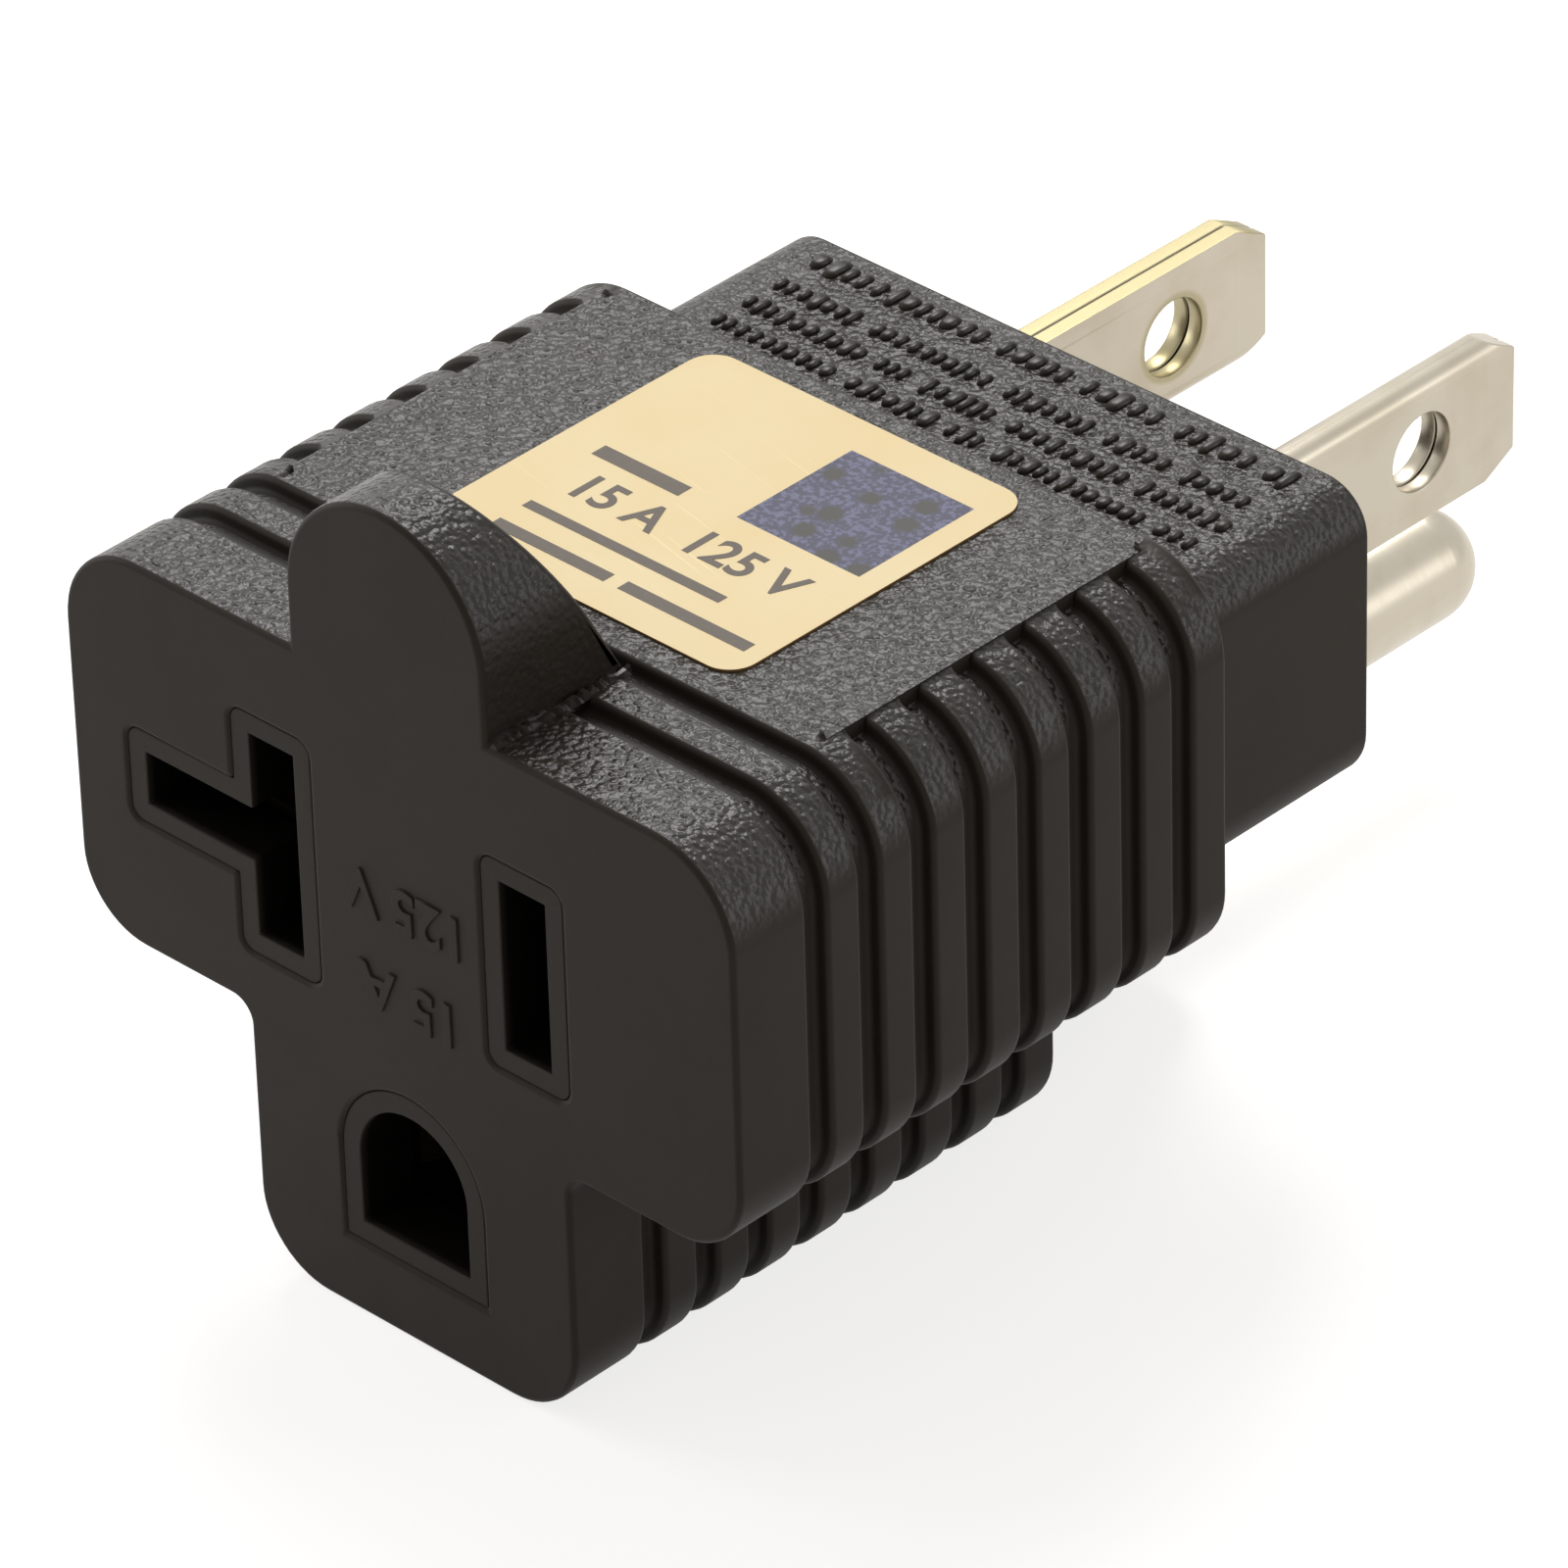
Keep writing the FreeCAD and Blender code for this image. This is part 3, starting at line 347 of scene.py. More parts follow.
def nickel_plate(settings, name, bare_edge, bare_rim):
    """Satin nickel over brass strip: warm grey metal with fine rolling lines along the strip.

    A pressed border runs round each face. Where the strip was sheared after plating, the cut edge
    and the rim of the hole show the yellow brass below.
    """
    material, tree = new_material(name)
    place = add_node(tree, "ShaderNodeTexCoord").outputs["Object"]
    parts = add_node(tree, "ShaderNodeSeparateXYZ", {0: place}).outputs
    facing = add_node(tree, "ShaderNodeSeparateXYZ", {
        0: add_node(tree, "ShaderNodeNewGeometry").outputs["Normal"]}).outputs
    # Rolling lines are finer than this. They are drawn coarse enough to show.
    line_length, line_pitch = 5 * MM, 0.08 * MM
    along = add_node(tree, "ShaderNodeVectorMath", {
        0: place, 1: (1 / line_pitch, 1 / line_length, 1 / line_pitch)},
        operation="MULTIPLY").outputs[0]
    lines = add_node(tree, "ShaderNodeTexNoise", {"Vector": along, "Scale": 1.0, "Detail": 3.0,
                                                  "Roughness": 0.6}).outputs[0]
    worn_patch = 3 * MM
    clouds = add_node(tree, "ShaderNodeTexNoise", {"Vector": place, "Scale": 1 / worn_patch,
                                                   "Detail": 4.0}).outputs[0]
    wear = add_node(tree, "ShaderNodeMapRange", {
        0: clouds, FROM_MIN: 0.45, FROM_MAX: 0.8, TO_MAX: 0.7}).outputs[0]
    plate = add_node(tree, "ShaderNodeMix", {
        0: wear, MIX_FIRST: opaque(settings.nickel), MIX_SECOND: opaque(settings.nickel_worn)},
        data_type="RGBA").outputs[MIX_RESULT]

    across = add_node(tree, "ShaderNodeMath", {0: parts["Z"]}, operation="ABSOLUTE").outputs[0]
    centred = add_node(tree, "ShaderNodeMath", {0: parts["Y"], 1: BLADE_HOLE_Y},
                       operation="SUBTRACT").outputs[0]
    from_hole = add_node(tree, "ShaderNodeVectorMath", {
        0: add_node(tree, "ShaderNodeCombineXYZ", {0: centred, 1: parts["Z"]}).outputs[0]},
        operation="LENGTH").outputs["Value"]
    rim = add_node(tree, "ShaderNodeMapRange", {
        0: from_hole, FROM_MIN: BLADE_HOLE_RADIUS + 0.12 * MM, FROM_MAX: BLADE_HOLE_RADIUS + 0.42 * MM,
        TO_MIN: 1.0, TO_MAX: 0.0}, interpolation_type="SMOOTHSTEP").outputs[0]
    sheared = add_node(tree, "ShaderNodeMapRange", {
        0: facing["Z"], FROM_MIN: 0.5, FROM_MAX: 0.85}).outputs[0]
    bare = add_node(tree, "ShaderNodeMath", {
        0: add_node(tree, "ShaderNodeMath", {0: sheared, 1: bare_edge},
                    operation="MULTIPLY").outputs[0],
        1: add_node(tree, "ShaderNodeMath", {0: rim, 1: bare_rim},
                    operation="MULTIPLY").outputs[0]}, operation="MAXIMUM").outputs[0]
    colour = add_node(tree, "ShaderNodeMix", {
        0: bare, MIX_FIRST: plate, MIX_SECOND: opaque(settings.brass)},
        data_type="RGBA").outputs[MIX_RESULT]

    from_side = add_node(tree, "ShaderNodeMath", {0: across, 1: BLADE_HIGH.z - settings.border},
                         operation="SUBTRACT").outputs[0]
    from_tip = add_node(tree, "ShaderNodeMath", {
        0: parts["Y"], 1: BLADE_HIGH.y - 2.2 * settings.border}, operation="SUBTRACT").outputs[0]
    inside = add_node(tree, "ShaderNodeMath", {0: from_side, 1: from_tip},
                      operation="MAXIMUM").outputs[0]
    half_step = 0.05 * MM
    pressed = add_node(tree, "ShaderNodeMapRange", {
        0: inside, FROM_MIN: -half_step, FROM_MAX: half_step, TO_MIN: 1.0, TO_MAX: 0.0}).outputs[0]
    coined = add_node(tree, "ShaderNodeMath", {0: pressed, 1: rim}, operation="SUBTRACT").outputs[0]
    border = add_node(tree, "ShaderNodeBump", {"Strength": 0.7, "Distance": 0.03 * MM,
                                               "Height": coined}).outputs[0]
    normal = add_node(tree, "ShaderNodeBump", {"Strength": 0.35, "Distance": 0.004 * MM,
                                               "Height": lines, "Normal": border}).outputs[0]
    roughness = add_node(tree, "ShaderNodeMapRange", {0: lines, TO_MIN: 0.28, TO_MAX: 0.45}).outputs[0]
    shader = add_node(tree, "ShaderNodeBsdfPrincipled", {
        "Base Color": colour, "Metallic": 1.0, "Roughness": roughness, "Normal": normal}).outputs[0]
    add_node(tree, "ShaderNodeOutputMaterial", {"Surface": shader})
    return material


def turned_nickel(settings):
    """Satin nickel on a turned brass pin: rings of fine tool marks, and brass where it is rubbed."""
    material, tree = new_material("nickel_on_turned_brass")
    place = add_node(tree, "ShaderNodeTexCoord").outputs["Object"]
    # Tool marks are finer than this. They are drawn coarse enough to show.
    ring_length, ring_pitch = 4 * MM, 0.12 * MM
    rings = add_node(tree, "ShaderNodeTexNoise", {
        "Vector": add_node(tree, "ShaderNodeVectorMath", {
            0: place, 1: (1 / ring_length, 1 / ring_pitch, 1 / ring_length)},
            operation="MULTIPLY").outputs[0],
        "Scale": 1.0, "Detail": 2.0}).outputs[0]
    worn_patch = 2.5 * MM
    clouds = add_node(tree, "ShaderNodeTexNoise", {"Vector": place, "Scale": 1 / worn_patch,
                                                   "Detail": 4.0}).outputs[0]
    wear = add_node(tree, "ShaderNodeMapRange", {
        0: clouds, FROM_MIN: 0.5, FROM_MAX: 0.85, TO_MAX: 0.8}).outputs[0]
    plate = add_node(tree, "ShaderNodeMix", {
        0: wear, MIX_FIRST: opaque(settings.nickel), MIX_SECOND: opaque(settings.nickel_worn)},
        data_type="RGBA").outputs[MIX_RESULT]
    rub = Vector((1.5 * MM, PIN_HIGH.y - 1.3 * MM, PIN_LOW.z + 2.0 * MM))
    from_rub = add_node(tree, "ShaderNodeVectorMath", {0: place, 1: rub},
                        operation="DISTANCE").outputs["Value"]
    ragged = add_node(tree, "ShaderNodeMath", {
        0: from_rub, 1: add_node(tree, "ShaderNodeMath", {0: clouds, 1: 0.6 * MM},
                                 operation="MULTIPLY").outputs[0]},
        operation="ADD").outputs[0]
    rubbed = add_node(tree, "ShaderNodeMapRange", {0: ragged, FROM_MIN: 0.5 * MM, FROM_MAX: 0.9 * MM,
                                                   TO_MIN: 0.8, TO_MAX: 0.0}).outputs[0]
    colour = add_node(tree, "ShaderNodeMix", {
        0: rubbed, MIX_FIRST: plate, MIX_SECOND: opaque(settings.brass)},
        data_type="RGBA").outputs[MIX_RESULT]
    normal = add_node(tree, "ShaderNodeBump", {"Strength": 0.3, "Distance": 0.004 * MM,
                                               "Height": rings}).outputs[0]
    roughness = add_node(tree, "ShaderNodeMapRange", {0: rings, TO_MIN: 0.25, TO_MAX: 0.4}).outputs[0]
    shader = add_node(tree, "ShaderNodeBsdfPrincipled", {
        "Base Color": colour, "Metallic": 1.0, "Roughness": roughness, "Normal": normal}).outputs[0]
    add_node(tree, "ShaderNodeOutputMaterial", {"Surface": shader})
    return material


def spring_brass(settings):
    """Rolled brass strip for the springs: yellow metal gone dull, coloured far darker still as painted
    shade, since the contacts sit in the shadow of the slots.
    """
    material, tree = new_material("spring_brass_rolled")
    place = add_node(tree, "ShaderNodeTexCoord").outputs["Object"]
    dull_patch = 2 * MM
    clouds = add_node(tree, "ShaderNodeTexNoise", {"Vector": place, "Scale": 1 / dull_patch,
                                                   "Detail": 4.0}).outputs[0]
    roughness = add_node(tree, "ShaderNodeMapRange", {0: clouds, TO_MIN: 0.3, TO_MAX: 0.5}).outputs[0]
    # The base colour is painted shade: far darker than brass, for the contacts' place in the dark
    # slots.
    shader = add_node(tree, "ShaderNodeBsdfPrincipled", {
        "Base Color": opaque(settings.shaded_spring), "Metallic": 1.0,
        "Roughness": roughness}).outputs[0]
    add_node(tree, "ShaderNodeOutputMaterial", {"Surface": shader})
    return material


def label_foil(settings):
    """Pale gold foil on paper: satin, with fine slanting scratches, a brown cut edge and one patch
    printed in dark mottled ink."""
    material, tree = new_material("gold_foil_printed")
    place = add_node(tree, "ShaderNodeTexCoord").outputs["Object"]
    parts = add_node(tree, "ShaderNodeSeparateXYZ", {0: place}).outputs
    facing = add_node(tree, "ShaderNodeSeparateXYZ", {
        0: add_node(tree, "ShaderNodeNewGeometry").outputs["Normal"]}).outputs
    tint_patch = 6 * MM
    clouds = add_node(tree, "ShaderNodeTexNoise", {"Vector": place, "Scale": 1 / tint_patch,
                                                   "Detail": 3.0}).outputs[0]
    slant = math.radians(12)
    turned = add_node(tree, "ShaderNodeVectorRotate", {
        "Vector": place, "Axis": (0, 0, 1), "Angle": slant}).outputs[0]
    scratch_length, scratch_pitch = 9 * MM, 0.14 * MM
    scratch = add_node(tree, "ShaderNodeTexNoise", {
        "Vector": add_node(tree, "ShaderNodeVectorMath", {
            0: turned, 1: (1 / scratch_length, 1 / scratch_pitch, 1.0)},
            operation="MULTIPLY").outputs[0],
        "Scale": 1.0, "Detail": 2.0}).outputs[0]
    thin = add_node(tree, "ShaderNodeMapRange", {
        0: scratch, FROM_MIN: 0.66, FROM_MAX: 0.74, TO_MAX: 0.5}).outputs[0]
    tint = add_node(tree, "ShaderNodeMapRange", {0: clouds, FROM_MIN: 0.3, FROM_MAX: 0.7}).outputs[0]
    browner = (0.98, 0.93, 0.82)
    deep = tuple(c * f for c, f in zip(settings.foil, browner))
    foil = add_node(tree, "ShaderNodeMix", {
        0: tint, MIX_FIRST: opaque(settings.foil), MIX_SECOND: opaque(deep)},
        data_type="RGBA").outputs[MIX_RESULT]
    pale = tuple(min(1.0, c * 1.25) for c in settings.foil)
    scratched = add_node(tree, "ShaderNodeMix", {
        0: thin, MIX_FIRST: foil, MIX_SECOND: opaque(pale)},
        data_type="RGBA").outputs[MIX_RESULT]

    patch_x, patch_y, patch_half = 4.25 * MM, -16.35 * MM, 3.05 * MM
    off_x = add_node(tree, "ShaderNodeMath", {0: parts["X"], 1: patch_x, 2: patch_half},
                     operation="COMPARE").outputs[0]
    off_y = add_node(tree, "ShaderNodeMath", {0: parts["Y"], 1: patch_y, 2: patch_half},
                     operation="COMPARE").outputs[0]
    in_patch = add_node(tree, "ShaderNodeMath", {0: off_x, 1: off_y},
                        operation="MULTIPLY").outputs[0]
    spot_pitch, fleck = 1.7 * MM, 0.22 * MM
    spots = add_node(tree, "ShaderNodeTexVoronoi", {
        "Vector": place, "Scale": 1 / spot_pitch, "Randomness": 0.8}).outputs["Distance"]
    spotted = add_node(tree, "ShaderNodeMapRange", {0: spots, FROM_MIN: 0.24, FROM_MAX: 0.36,
                                                    TO_MIN: 1.0, TO_MAX: 0.0}).outputs[0]
    mottle = add_node(tree, "ShaderNodeTexNoise", {"Vector": place, "Scale": 1 / fleck,
                                                   "Detail": 2.0}).outputs[0]
    flecked = add_node(tree, "ShaderNodeMapRange", {
        0: mottle, FROM_MIN: 0.47, FROM_MAX: 0.6}).outputs[0]
    lighter = tuple(min(1.0, c * 2.6) for c in settings.patch)
    ground = add_node(tree, "ShaderNodeMix", {
        0: flecked, MIX_FIRST: opaque(settings.patch), MIX_SECOND: opaque(lighter)},
        data_type="RGBA").outputs[MIX_RESULT]
    printed = add_node(tree, "ShaderNodeMix", {
        0: spotted, MIX_FIRST: ground, MIX_SECOND: opaque(settings.patch_spot)},
        data_type="RGBA").outputs[MIX_RESULT]
    face = add_node(tree, "ShaderNodeMix", {
        0: in_patch, MIX_FIRST: scratched, MIX_SECOND: printed},
        data_type="RGBA").outputs[MIX_RESULT]
    cut_edge = add_node(tree, "ShaderNodeMath", {0: facing["Z"], 1: 0.5},
                        operation="LESS_THAN").outputs[0]
    colour = add_node(tree, "ShaderNodeMix", {
        0: cut_edge, MIX_FIRST: face, MIX_SECOND: opaque(settings.foil_edge)},
        data_type="RGBA").outputs[MIX_RESULT]
    roughness = add_node(tree, "ShaderNodeMapRange", {
        0: in_patch, TO_MIN: 0.5, TO_MAX: 0.6}).outputs[0]
    metal = add_node(tree, "ShaderNodeMapRange", {0: in_patch, TO_MIN: 0.2, TO_MAX: 0.0}).outputs[0]
    shader = add_node(tree, "ShaderNodeBsdfPrincipled", {
        "Base Color": colour, "Roughness": roughness, "Metallic": metal}).outputs[0]
    add_node(tree, "ShaderNodeOutputMaterial", {"Surface": shader})
    return material


def ink(settings):
    """Grey-brown printing ink, thin enough to keep the foil's satin."""
    material, tree = new_material("grey_brown_ink")
    place = add_node(tree, "ShaderNodeTexCoord").outputs["Object"]
    thin_patch = 0.25 * MM
    thin = add_node(tree, "ShaderNodeTexNoise", {"Vector": place, "Scale": 1 / thin_patch,
                                                 "Detail": 2.0}).outputs[0]
    pale = tuple(c * 1.5 for c in settings.ink)
    colour = add_node(tree, "ShaderNodeMix", {
        0: add_node(tree, "ShaderNodeMapRange", {
            0: thin, FROM_MIN: 0.5, FROM_MAX: 0.8, TO_MAX: 0.5}).outputs[0],
        MIX_FIRST: opaque(settings.ink), MIX_SECOND: opaque(pale)},
        data_type="RGBA").outputs[MIX_RESULT]
    shader = add_node(tree, "ShaderNodeBsdfPrincipled", {
        "Base Color": colour, "Roughness": 0.55}).outputs[0]
    add_node(tree, "ShaderNodeOutputMaterial", {"Surface": shader})
    return material


def edge_weights():
    """Node group that says how far each sharp edge is rounded: in full, a third of it where a
    groove ends at the shoulder, and not at all along the top of the shoulder."""
    tree = bpy.data.node_groups.new("edge weights", "GeometryNodeTree")
    for direction in ("INPUT", "OUTPUT"):
        tree.interface.new_socket("Geometry", in_out=direction, socket_type="NodeSocketGeometry")
    whole = add_node(tree, "NodeGroupInput").outputs[0]
    angle = add_node(tree, "GeometryNodeInputMeshEdgeAngle").outputs["Unsigned Angle"]
    sharp = add_node(tree, "ShaderNodeMath", {0: angle, 1: SHARP_TURN},
                     operation="GREATER_THAN").outputs[0]
    parts = add_node(tree, "ShaderNodeSeparateXYZ", {
        0: add_node(tree, "GeometryNodeInputPosition").outputs[0]}).outputs
    aside = add_node(tree, "ShaderNodeMath", {0: parts["X"]}, operation="ABSOLUTE").outputs[0]
    at_shoulder = add_node(tree, "ShaderNodeMath", {0: aside, 1: SHOULDER_X, 2: 0.05 * MM},
                           operation="COMPARE").outputs[0]
    # Share of the round that is held back: most of it at a groove's end, all of it along the top.
    at_groove_end = 0.67
    on_top = add_node(tree, "ShaderNodeMapRange", {
        0: parts["Z"], FROM_MIN: TOP_Z - 0.2 * MM, FROM_MAX: TOP_Z - 0.1 * MM,
        TO_MIN: at_groove_end, TO_MAX: 1.0}).outputs[0]
    above_slots = add_node(tree, "ShaderNodeMath", {0: parts["Z"], 1: TOP_Z - 1.0 * MM},
                           operation="GREATER_THAN").outputs[0]
    held_back = add_node(tree, "ShaderNodeMath", {
        0: add_node(tree, "ShaderNodeMath", {0: at_shoulder, 1: above_slots},
                    operation="MULTIPLY").outputs[0],
        1: on_top}, operation="MULTIPLY").outputs[0]
    share = add_node(tree, "ShaderNodeMath", {0: 1.0, 1: held_back},
                     operation="SUBTRACT").outputs[0]
    weight = add_node(tree, "ShaderNodeMath", {0: sharp, 1: share},
                      operation="MULTIPLY").outputs[0]
    left_sharp = add_node(tree, "ShaderNodeMath", {0: sharp, 1: held_back},
                          operation="MULTIPLY").outputs[0]
    nearly_all = 0.9
    unrounded = add_node(tree, "FunctionNodeCompare", {0: left_sharp, 1: nearly_all},
                         data_type="FLOAT", operation="GREATER_THAN").outputs[0]
    soft = add_node(tree, "GeometryNodeSetShadeSmooth", {"Geometry": whole}).outputs[0]
    marked = add_node(tree, "GeometryNodeSetShadeSmooth", {
        "Geometry": soft, "Selection": unrounded, "Shade Smooth": False}, domain="EDGE").outputs[0]
    weighted = add_node(tree, "GeometryNodeStoreNamedAttribute", {
        "Geometry": marked, "Name": "bevel_weight_edge", "Value": weight},
        data_type="FLOAT", domain="EDGE").outputs[0]
    add_node(tree, "NodeGroupOutput", {0: weighted})
    return tree


def ease_edges(name, radius, segments, weights):
    """Rounds a solid's sharp edges, once its split corners are joined and its flats are whole."""
    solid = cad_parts[name]
    weld = solid.modifiers.new("joined corners", "WELD")
    weld.merge_threshold = SAME_CORNER
    flats = solid.modifiers.new("whole flats", "DECIMATE")
    flats.decimate_type = "DISSOLVE"
    flats.angle_limit = FLAT_TURN
    solid.modifiers.new("edge weights", "NODES").node_group = weights
    rounds = solid.modifiers.new("eased edges", "BEVEL")
    rounds.width = radius
    rounds.segments = segments
    rounds.limit_method = "WEIGHT"
    rounds.use_clamp_overlap = False
    level = solid.modifiers.new("level flats", "WEIGHTED_NORMAL")
    level.keep_sharp = True


def finished_mesh(name, mesh):
    """The mesh data of a bmesh, which is freed."""
    data = bpy.data.meshes.new(name)
    mesh.to_mesh(data)
    mesh.free()
    return data


def new_piece(name, mesh, material):
    """A piece of the scene that goes with the adapter, with its finish in the mesh's first slot and
    hung on the root body.
    """
    piece = bpy.data.objects.new(name, mesh)
    bpy.context.scene.collection.objects.link(piece)
    piece.data.materials.append(material)
    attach(piece, "root")
    return piece


def capsule_outline(centre, half_width, half_length, steps=4):
    """Points round an upright capsule: two straight sides and two half circles."""
    points = []
    for end, start in ((1, 0.0), (-1, math.pi)):
        for i in range(steps + 1):
            angle = start + math.pi * i / steps
            points.append(Vector((
                centre[0] + half_width * math.cos(angle),
                centre[1] + end * (half_length - half_width) + half_width * math.sin(angle))))
    return points


def add_pad(mesh, outline, base, height):
    """A raised pad on a level face, from its outline, narrower at its crown than at its foot."""
    middle = sum(outline, Vector((0, 0))) / len(outline)
    rings = []
    for share, rise in PAD_RINGS:
        rings.append([mesh.verts.new((*(middle + (point - middle) * share), base + height * rise))
                      for point in outline])
    for low, high in zip(rings, rings[1:]):
        for i in range(len(outline)):
            j = (i + 1) % len(outline)
            mesh.faces.new((low[i], low[j], high[j], high[i])).smooth = True
    mesh.faces.new(rings[-1]).smooth = True
    mesh.faces.new(list(reversed(rings[0])))


def raised_ticks(settings, material):
    """Four rows of small upright ticks on the rear block, in runs of uneven length.

    A run has 3 to 12 ticks. Two ticks in three are low, and one in three is broad.
    """
    order = random.Random(5)
    heights, widths, steps = (0.72, 0.72, 1.0), (1.0, 1.0, 1.7), (1.0, 1.25)
    # In millimetres: where each row stands, with its scale, and where ticks go along a row.
    rows = ((-1.5, 1.25), (-3.7, 1.0), (-5.4, 1.0), (-7.1, 1.0))
    left, right, pitch, gap = -11.6, 12.4, 0.55, 0.62
    mesh = bmesh.new()
    for row, scale in rows:
        across = left
        while across < right:
            for _ in range(order.randint(3, 12)):
                if across < right:
                    tall = settings.tick_length * scale * order.choice(heights)
                    wide = settings.tick_width * scale * order.choice(widths)
                    outline = capsule_outline((across * MM, row * MM), wide / 2, tall / 2)
                    add_pad(mesh, outline, REAR_TOP_Z, settings.mark_height)
                across += pitch * scale * order.choice(steps)
            across += gap
    new_piece("raised_ticks", finished_mesh("raised_ticks", mesh), material)


def lettering(name, body, size, depth, bold, right, up, centre, material):
    """Generic rating numbers as a solid piece, laid on a face by its two directions.

    The text stands depth proud of its centre and is drawn bolder by the length bold.
    """
    curve = bpy.data.curves.new(name, "FONT")
    curve.body = body
    curve.size = size
    curve.align_x = "CENTER"
    curve.align_y = "CENTER"
    curve.extrude = depth
    curve.bevel_depth = depth / 3
    curve.bevel_resolution = 1
    curve.offset = bold
    piece = new_piece(name, curve, material)
    normal = right.cross(up)
    piece.matrix_world = Matrix.Translation(centre) @ Matrix((right, up, normal)).transposed().to_4x4()


def flash_ridge(settings, material):
    """The torn parting line that the tool left beside the tab's foot: a ridge with a ragged crest."""
    order = random.Random(11)
    mesh = bmesh.new()
    across, half, foot = 5.3 * MM, 0.16 * MM, TOP_Z - 0.1 * MM
    along, end, step = FACE_Y + 0.1 * MM, FACE_Y + 7.0 * MM, 0.17 * MM
    rings = []
    while along < end:
        rise = settings.flash_height * order.uniform(0.45, 1.0)
        lean = order.uniform(-0.05, 0.05) * MM
        section = ((-half * 1.6, foot), (-half * 0.5 + lean, TOP_Z + rise),
                   (half * 0.5 + lean, TOP_Z + rise * 0.9), (half, foot))
        rings.append([mesh.verts.new((across + x, along, z)) for x, z in section])
        along += step
    for low, high in zip(rings, rings[1:]):
        for i in range(len(low)):
            j = (i + 1) % len(low)
            mesh.faces.new((low[i], high[i], high[j], low[j]))
    mesh.faces.new(rings[0])
    mesh.faces.new(list(reversed(rings[-1])))
    bmesh.ops.recalc_face_normals(mesh, faces=mesh.faces)
    new_piece("tab_flash", finished_mesh("tab_flash", mesh), material)


def printed_bars(material):
    """Plain printed bars on the foil, each a thin film half sunk in it."""
    mesh = bmesh.new()
    film = 0.02 * MM
    # In millimetres: each bar's left and right end, its middle and its width.
    bars = (
        (-5.8, -1.4, -19.4, 0.75), (-5.2, 4.7, -23.75, 0.5), (-5.2, 0.6, -25.4, 0.6),
        (1.3, 7.6, -25.4, 0.6),
    )
    for left, right, middle, width in bars:
        place = Vector(((left + right) / 2 * MM, middle * MM, LABEL_HIGH.z))
        extent = Vector(((right - left) * MM, width * MM, film))
        bmesh.ops.create_cube(mesh, matrix=Matrix.LocRotScale(place, None, extent))
    new_piece("label_bars", finished_mesh("label_bars", mesh), material)


class ADAPTER_OT_moulding(bpy.types.Operator):
    """Grained vinyl with eased edges on the outer moulding, hard plastic on the cores inside it"""
    bl_idname = "adapter.moulding"
    bl_label = "Outer moulding and cores"

    def execute(self, context):
        settings = context.scene.adapter_moulding
        finish_node("overmould_body", soft_vinyl(settings, "soft_vinyl_spark_grain", True))
        nylon = hard_plastic(settings)
        for name in ("receptacle_insert", "contact_carrier"):
            finish_node(name, nylon)
        weights = edge_weights()
        ease_edges("overmould_body", settings.edge_round, 3, weights)
        ease_edges("receptacle_insert", settings.rim_round, 2, weights)
        return {"FINISHED"}


class ADAPTER_OT_plug_metal(bpy.types.Operator):
    """Satin nickel plate on the two folded blades and the turned earth pin"""
    bl_idname = "adapter.plug_metal"
    bl_label = "Blades and earth pin"

    def execute(self, context):
        settings = context.scene.adapter_metal
        finish_node("hot_blade", nickel_plate(settings, "nickel_on_folded_strip", 0.0, 0.0))
        finish_node("neutral_blade", nickel_plate(settings, "nickel_with_sheared_edge", 1.0, 0.8))
        finish_node("ground_pin", turned_nickel(settings))
        weights = edge_weights()
        for name in ("hot_blade", "neutral_blade"):
            ease_edges(name, settings.edge_break, 2, weights)
        return {"FINISHED"}


class ADAPTER_OT_contacts(bpy.types.Operator):
    """Spring brass on the three contacts behind the socket face"""
    bl_idname = "adapter.contacts"
    bl_label = "Contacts"

    def execute(self, context):
        brass = spring_brass(context.scene.adapter_metal)
        for name in ("hot_contact", "neutral_contact", "ground_contact"):
            finish_node(name, brass)
        return {"FINISHED"}


class ADAPTER_OT_label(bpy.types.Operator):
    """Gold foil on the rating label, with plain bars and generic rating numbers printed on it"""
    bl_idname = "adapter.label"
    bl_label = "Foil label"

    def execute(self, context):
        settings = context.scene.adapter_label
        finish_node("rating_label", label_foil(settings))
        print_ink = ink(settings)
        printed_bars(print_ink)
        right, up = Vector((1, 0, 0)), Vector((0, 1, 0))
        centre = Vector((0.7 * MM, -21.6 * MM, LABEL_HIGH.z + 0.004 * MM))
        depth, bold = 0.006 * MM, 0.045 * MM
        lettering("label_rating", "15 A  125 V", settings.number_size, depth, bold, right, up,
                  centre, print_ink)
        return {"FINISHED"}


class ADAPTER_OT_details(bpy.types.Operator):
    """Raised marks on the rear block and the socket face, and the flash beside the tab"""
    bl_idname = "adapter.details"
    bl_label = "Moulded details"

    def execute(self, context):
        settings = context.scene.adapter_details
        vinyl = soft_vinyl(context.scene.adapter_moulding, "soft_vinyl_raised_marks", False)
        raised_ticks(settings, vinyl)
        flash_ridge(settings, vinyl)
        right, up = Vector((-1, 0, 0)), Vector((0, 0, -1))
        depth, bold = 0.08 * MM, 0.03 * MM
        rows = (("face_voltage", "125 V", 0.3 * MM), ("face_current", "15 A", -3.7 * MM))
        for name, body, level in rows:
            centre = Vector((0.5 * MM, FACE_Y + 0.01 * MM, level))
            lettering(name, body, settings.number_size, depth, bold, right, up, centre, vinyl)
        return {"FINISHED"}


def area_lamp(name, place, target, size, power):
    """A square soft lamp that faces a point."""
    data = bpy.data.lights.new(name, "AREA")
    data.shape = "SQUARE"
    data.size = size
    data.energy = power
    lamp = bpy.data.objects.new(name, data)
    lamp.location = place
    lamp.rotation_euler = (target - place).to_track_quat("-Z", "Y").to_euler()
    bpy.context.scene.collection.objects.link(lamp)


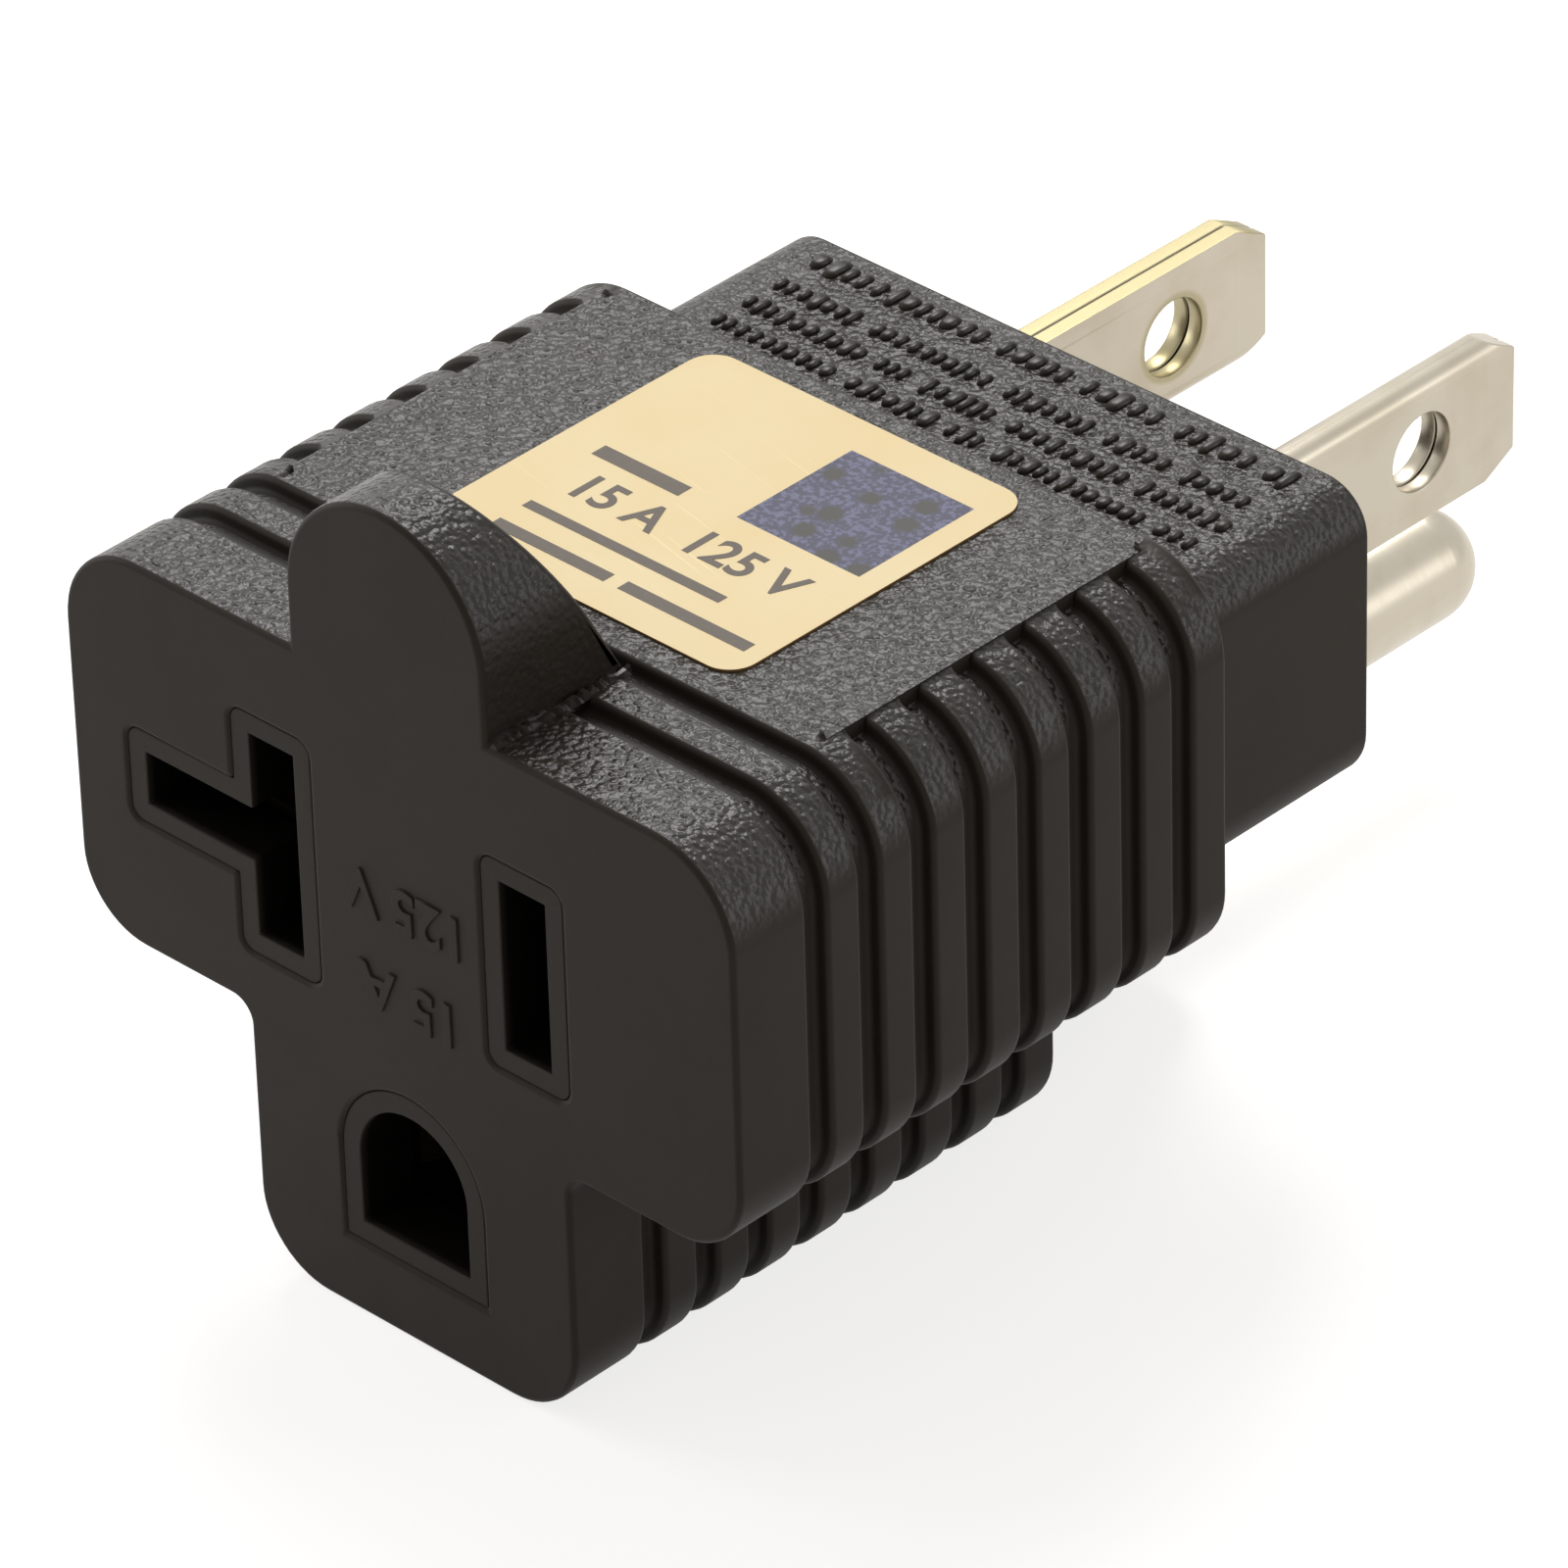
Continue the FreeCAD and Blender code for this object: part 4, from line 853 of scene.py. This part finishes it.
def seen_rays(tree):
    """One for camera, glossy and transmission rays, so that metal shows the same white ground."""
    path = add_node(tree, "ShaderNodeLightPath").outputs
    total = add_node(tree, "ShaderNodeMath", {0: path["Is Camera Ray"], 1: path["Is Glossy Ray"]},
                     operation="ADD").outputs[0]
    return add_node(tree, "ShaderNodeMath", {0: total, 1: path["Is Transmission Ray"]},
                    operation="ADD", use_clamp=True).outputs[0]


def make_floor(settings):
    """A wide pale floor at the adapter's foot, white to the eye where no shadow falls."""
    material, tree = new_material("pale_floor")
    matt = add_node(tree, "ShaderNodeBsdfDiffuse", {"Color": opaque(settings.floor)}).outputs[0]
    lift = add_node(tree, "ShaderNodeMath", {0: seen_rays(tree), 1: settings.floor_glow},
                    operation="MULTIPLY").outputs[0]
    glow = add_node(tree, "ShaderNodeEmission", {"Strength": lift}).outputs[0]
    both = add_node(tree, "ShaderNodeAddShader", {0: matt, 1: glow}).outputs[0]
    add_node(tree, "ShaderNodeOutputMaterial", {"Surface": both})
    mesh = bmesh.new()
    half_width, below = 2.0, 0.02 * MM
    bmesh.ops.create_grid(mesh, x_segments=1, y_segments=1, size=half_width)
    data = finished_mesh("floor", mesh)
    data.materials.append(material)
    floor = bpy.data.objects.new("floor", data)
    floor.location.z = CAD_BOX[0][2] - below
    bpy.context.scene.collection.objects.link(floor)


def make_world(settings):
    """White surroundings to the eye, and a weaker warm light from all sides on the adapter."""
    world = bpy.data.worlds.new("studio")
    world.use_nodes = True
    tree = world.node_tree
    tree.nodes.clear()
    seen = seen_rays(tree)
    strength = add_node(tree, "ShaderNodeMapRange", {
        0: seen, TO_MIN: settings.fill_strength, TO_MAX: 1.0}).outputs[0]
    colour = add_node(tree, "ShaderNodeMix", {
        0: seen, MIX_FIRST: opaque(settings.fill), MIX_SECOND: (1, 1, 1, 1)},
        data_type="RGBA").outputs[MIX_RESULT]
    light = add_node(tree, "ShaderNodeBackground", {"Color": colour, "Strength": strength}).outputs[0]
    add_node(tree, "ShaderNodeOutputWorld", {"Surface": light})
    bpy.context.scene.world = world


def make_camera(settings):
    """A long lens above the socket face's right corner, with no depth of field.

    Its place and lens come from a fit to the plug's standard blade pattern.
    """
    turn, tilt, roll = settings.azimuth, settings.elevation, settings.roll
    back = Vector((math.sin(turn) * math.cos(tilt), -math.cos(turn) * math.cos(tilt),
                   math.sin(tilt)))
    level = Vector((math.cos(turn), math.sin(turn), 0))
    upright = back.cross(level)
    right = math.cos(roll) * level + math.sin(roll) * upright
    up = math.cos(roll) * upright - math.sin(roll) * level
    data = bpy.data.cameras.new("view")
    data.sensor_width = 36.0
    data.sensor_fit = "HORIZONTAL"
    data.lens = settings.lens
    data.clip_start = 0.01
    data.clip_end = 20.0
    camera = bpy.data.objects.new("view", data)
    place = Vector(settings.aim) + back * settings.distance
    camera.matrix_world = Matrix.Translation(place) @ Matrix((right, up, back)).transposed().to_4x4()
    bpy.context.scene.collection.objects.link(camera)
    bpy.context.scene.camera = camera


class ADAPTER_OT_stage(bpy.types.Operator):
    """Pale floor, soft lamps, white surroundings and the camera"""
    bl_idname = "adapter.stage"
    bl_label = "Stage, light and camera"

    def execute(self, context):
        settings = context.scene.adapter_stage
        make_floor(settings)
        make_world(settings)
        target = Vector((0, (BODY_LOW.y + BODY_HIGH.y) / 2, 0))
        # Each lamp's name, its place seen from the target, its side and its power.
        lamps = (
            ("key", (-0.27, 0.27, 0.46), 0.3, settings.key_power),
            ("left_fill", (-0.11, -0.05, 0.03), 0.06, settings.left_power),
            ("right_fill", (0.13, 0.12, 0.04), 0.06, settings.right_power),
        )
        for name, offset, size, power in lamps:
            area_lamp(name, target + Vector(offset), target, size, power)
        make_camera(settings)
        context.scene.view_settings.view_transform = "Standard"
        return {"FINISHED"}


OPERATORS = (ADAPTER_OT_moulding, ADAPTER_OT_plug_metal, ADAPTER_OT_contacts, ADAPTER_OT_label,
             ADAPTER_OT_details, ADAPTER_OT_stage)


class ADAPTER_PT_build(bpy.types.Panel):
    """Buttons for each step of the scene"""
    bl_idname = "ADAPTER_PT_build"
    bl_label = "Plug adapter"
    bl_space_type = "VIEW_3D"
    bl_region_type = "UI"
    bl_category = "Adapter"

    def draw(self, context):
        for operator in OPERATORS:
            self.layout.operator(operator.bl_idname)


SETTINGS = {
    "adapter_moulding": MouldingSettings,
    "adapter_metal": MetalSettings,
    "adapter_label": LabelSettings,
    "adapter_details": DetailSettings,
    "adapter_stage": StageSettings,
}


def register():
    for cls in (*SETTINGS.values(), *OPERATORS, ADAPTER_PT_build):
        bpy.utils.register_class(cls)
    for name, group in SETTINGS.items():
        setattr(bpy.types.Scene, name, PointerProperty(type=group))


def unregister():
    for name in SETTINGS:
        delattr(bpy.types.Scene, name)
    for cls in reversed((*SETTINGS.values(), *OPERATORS, ADAPTER_PT_build)):
        bpy.utils.unregister_class(cls)


def main():
    register()
    bpy.ops.adapter.moulding()
    bpy.ops.adapter.plug_metal()
    bpy.ops.adapter.contacts()
    bpy.ops.adapter.label()
    bpy.ops.adapter.details()
    bpy.ops.adapter.stage()
    bpy.context.view_layer.update()


if __name__ == "__main__":
    main()
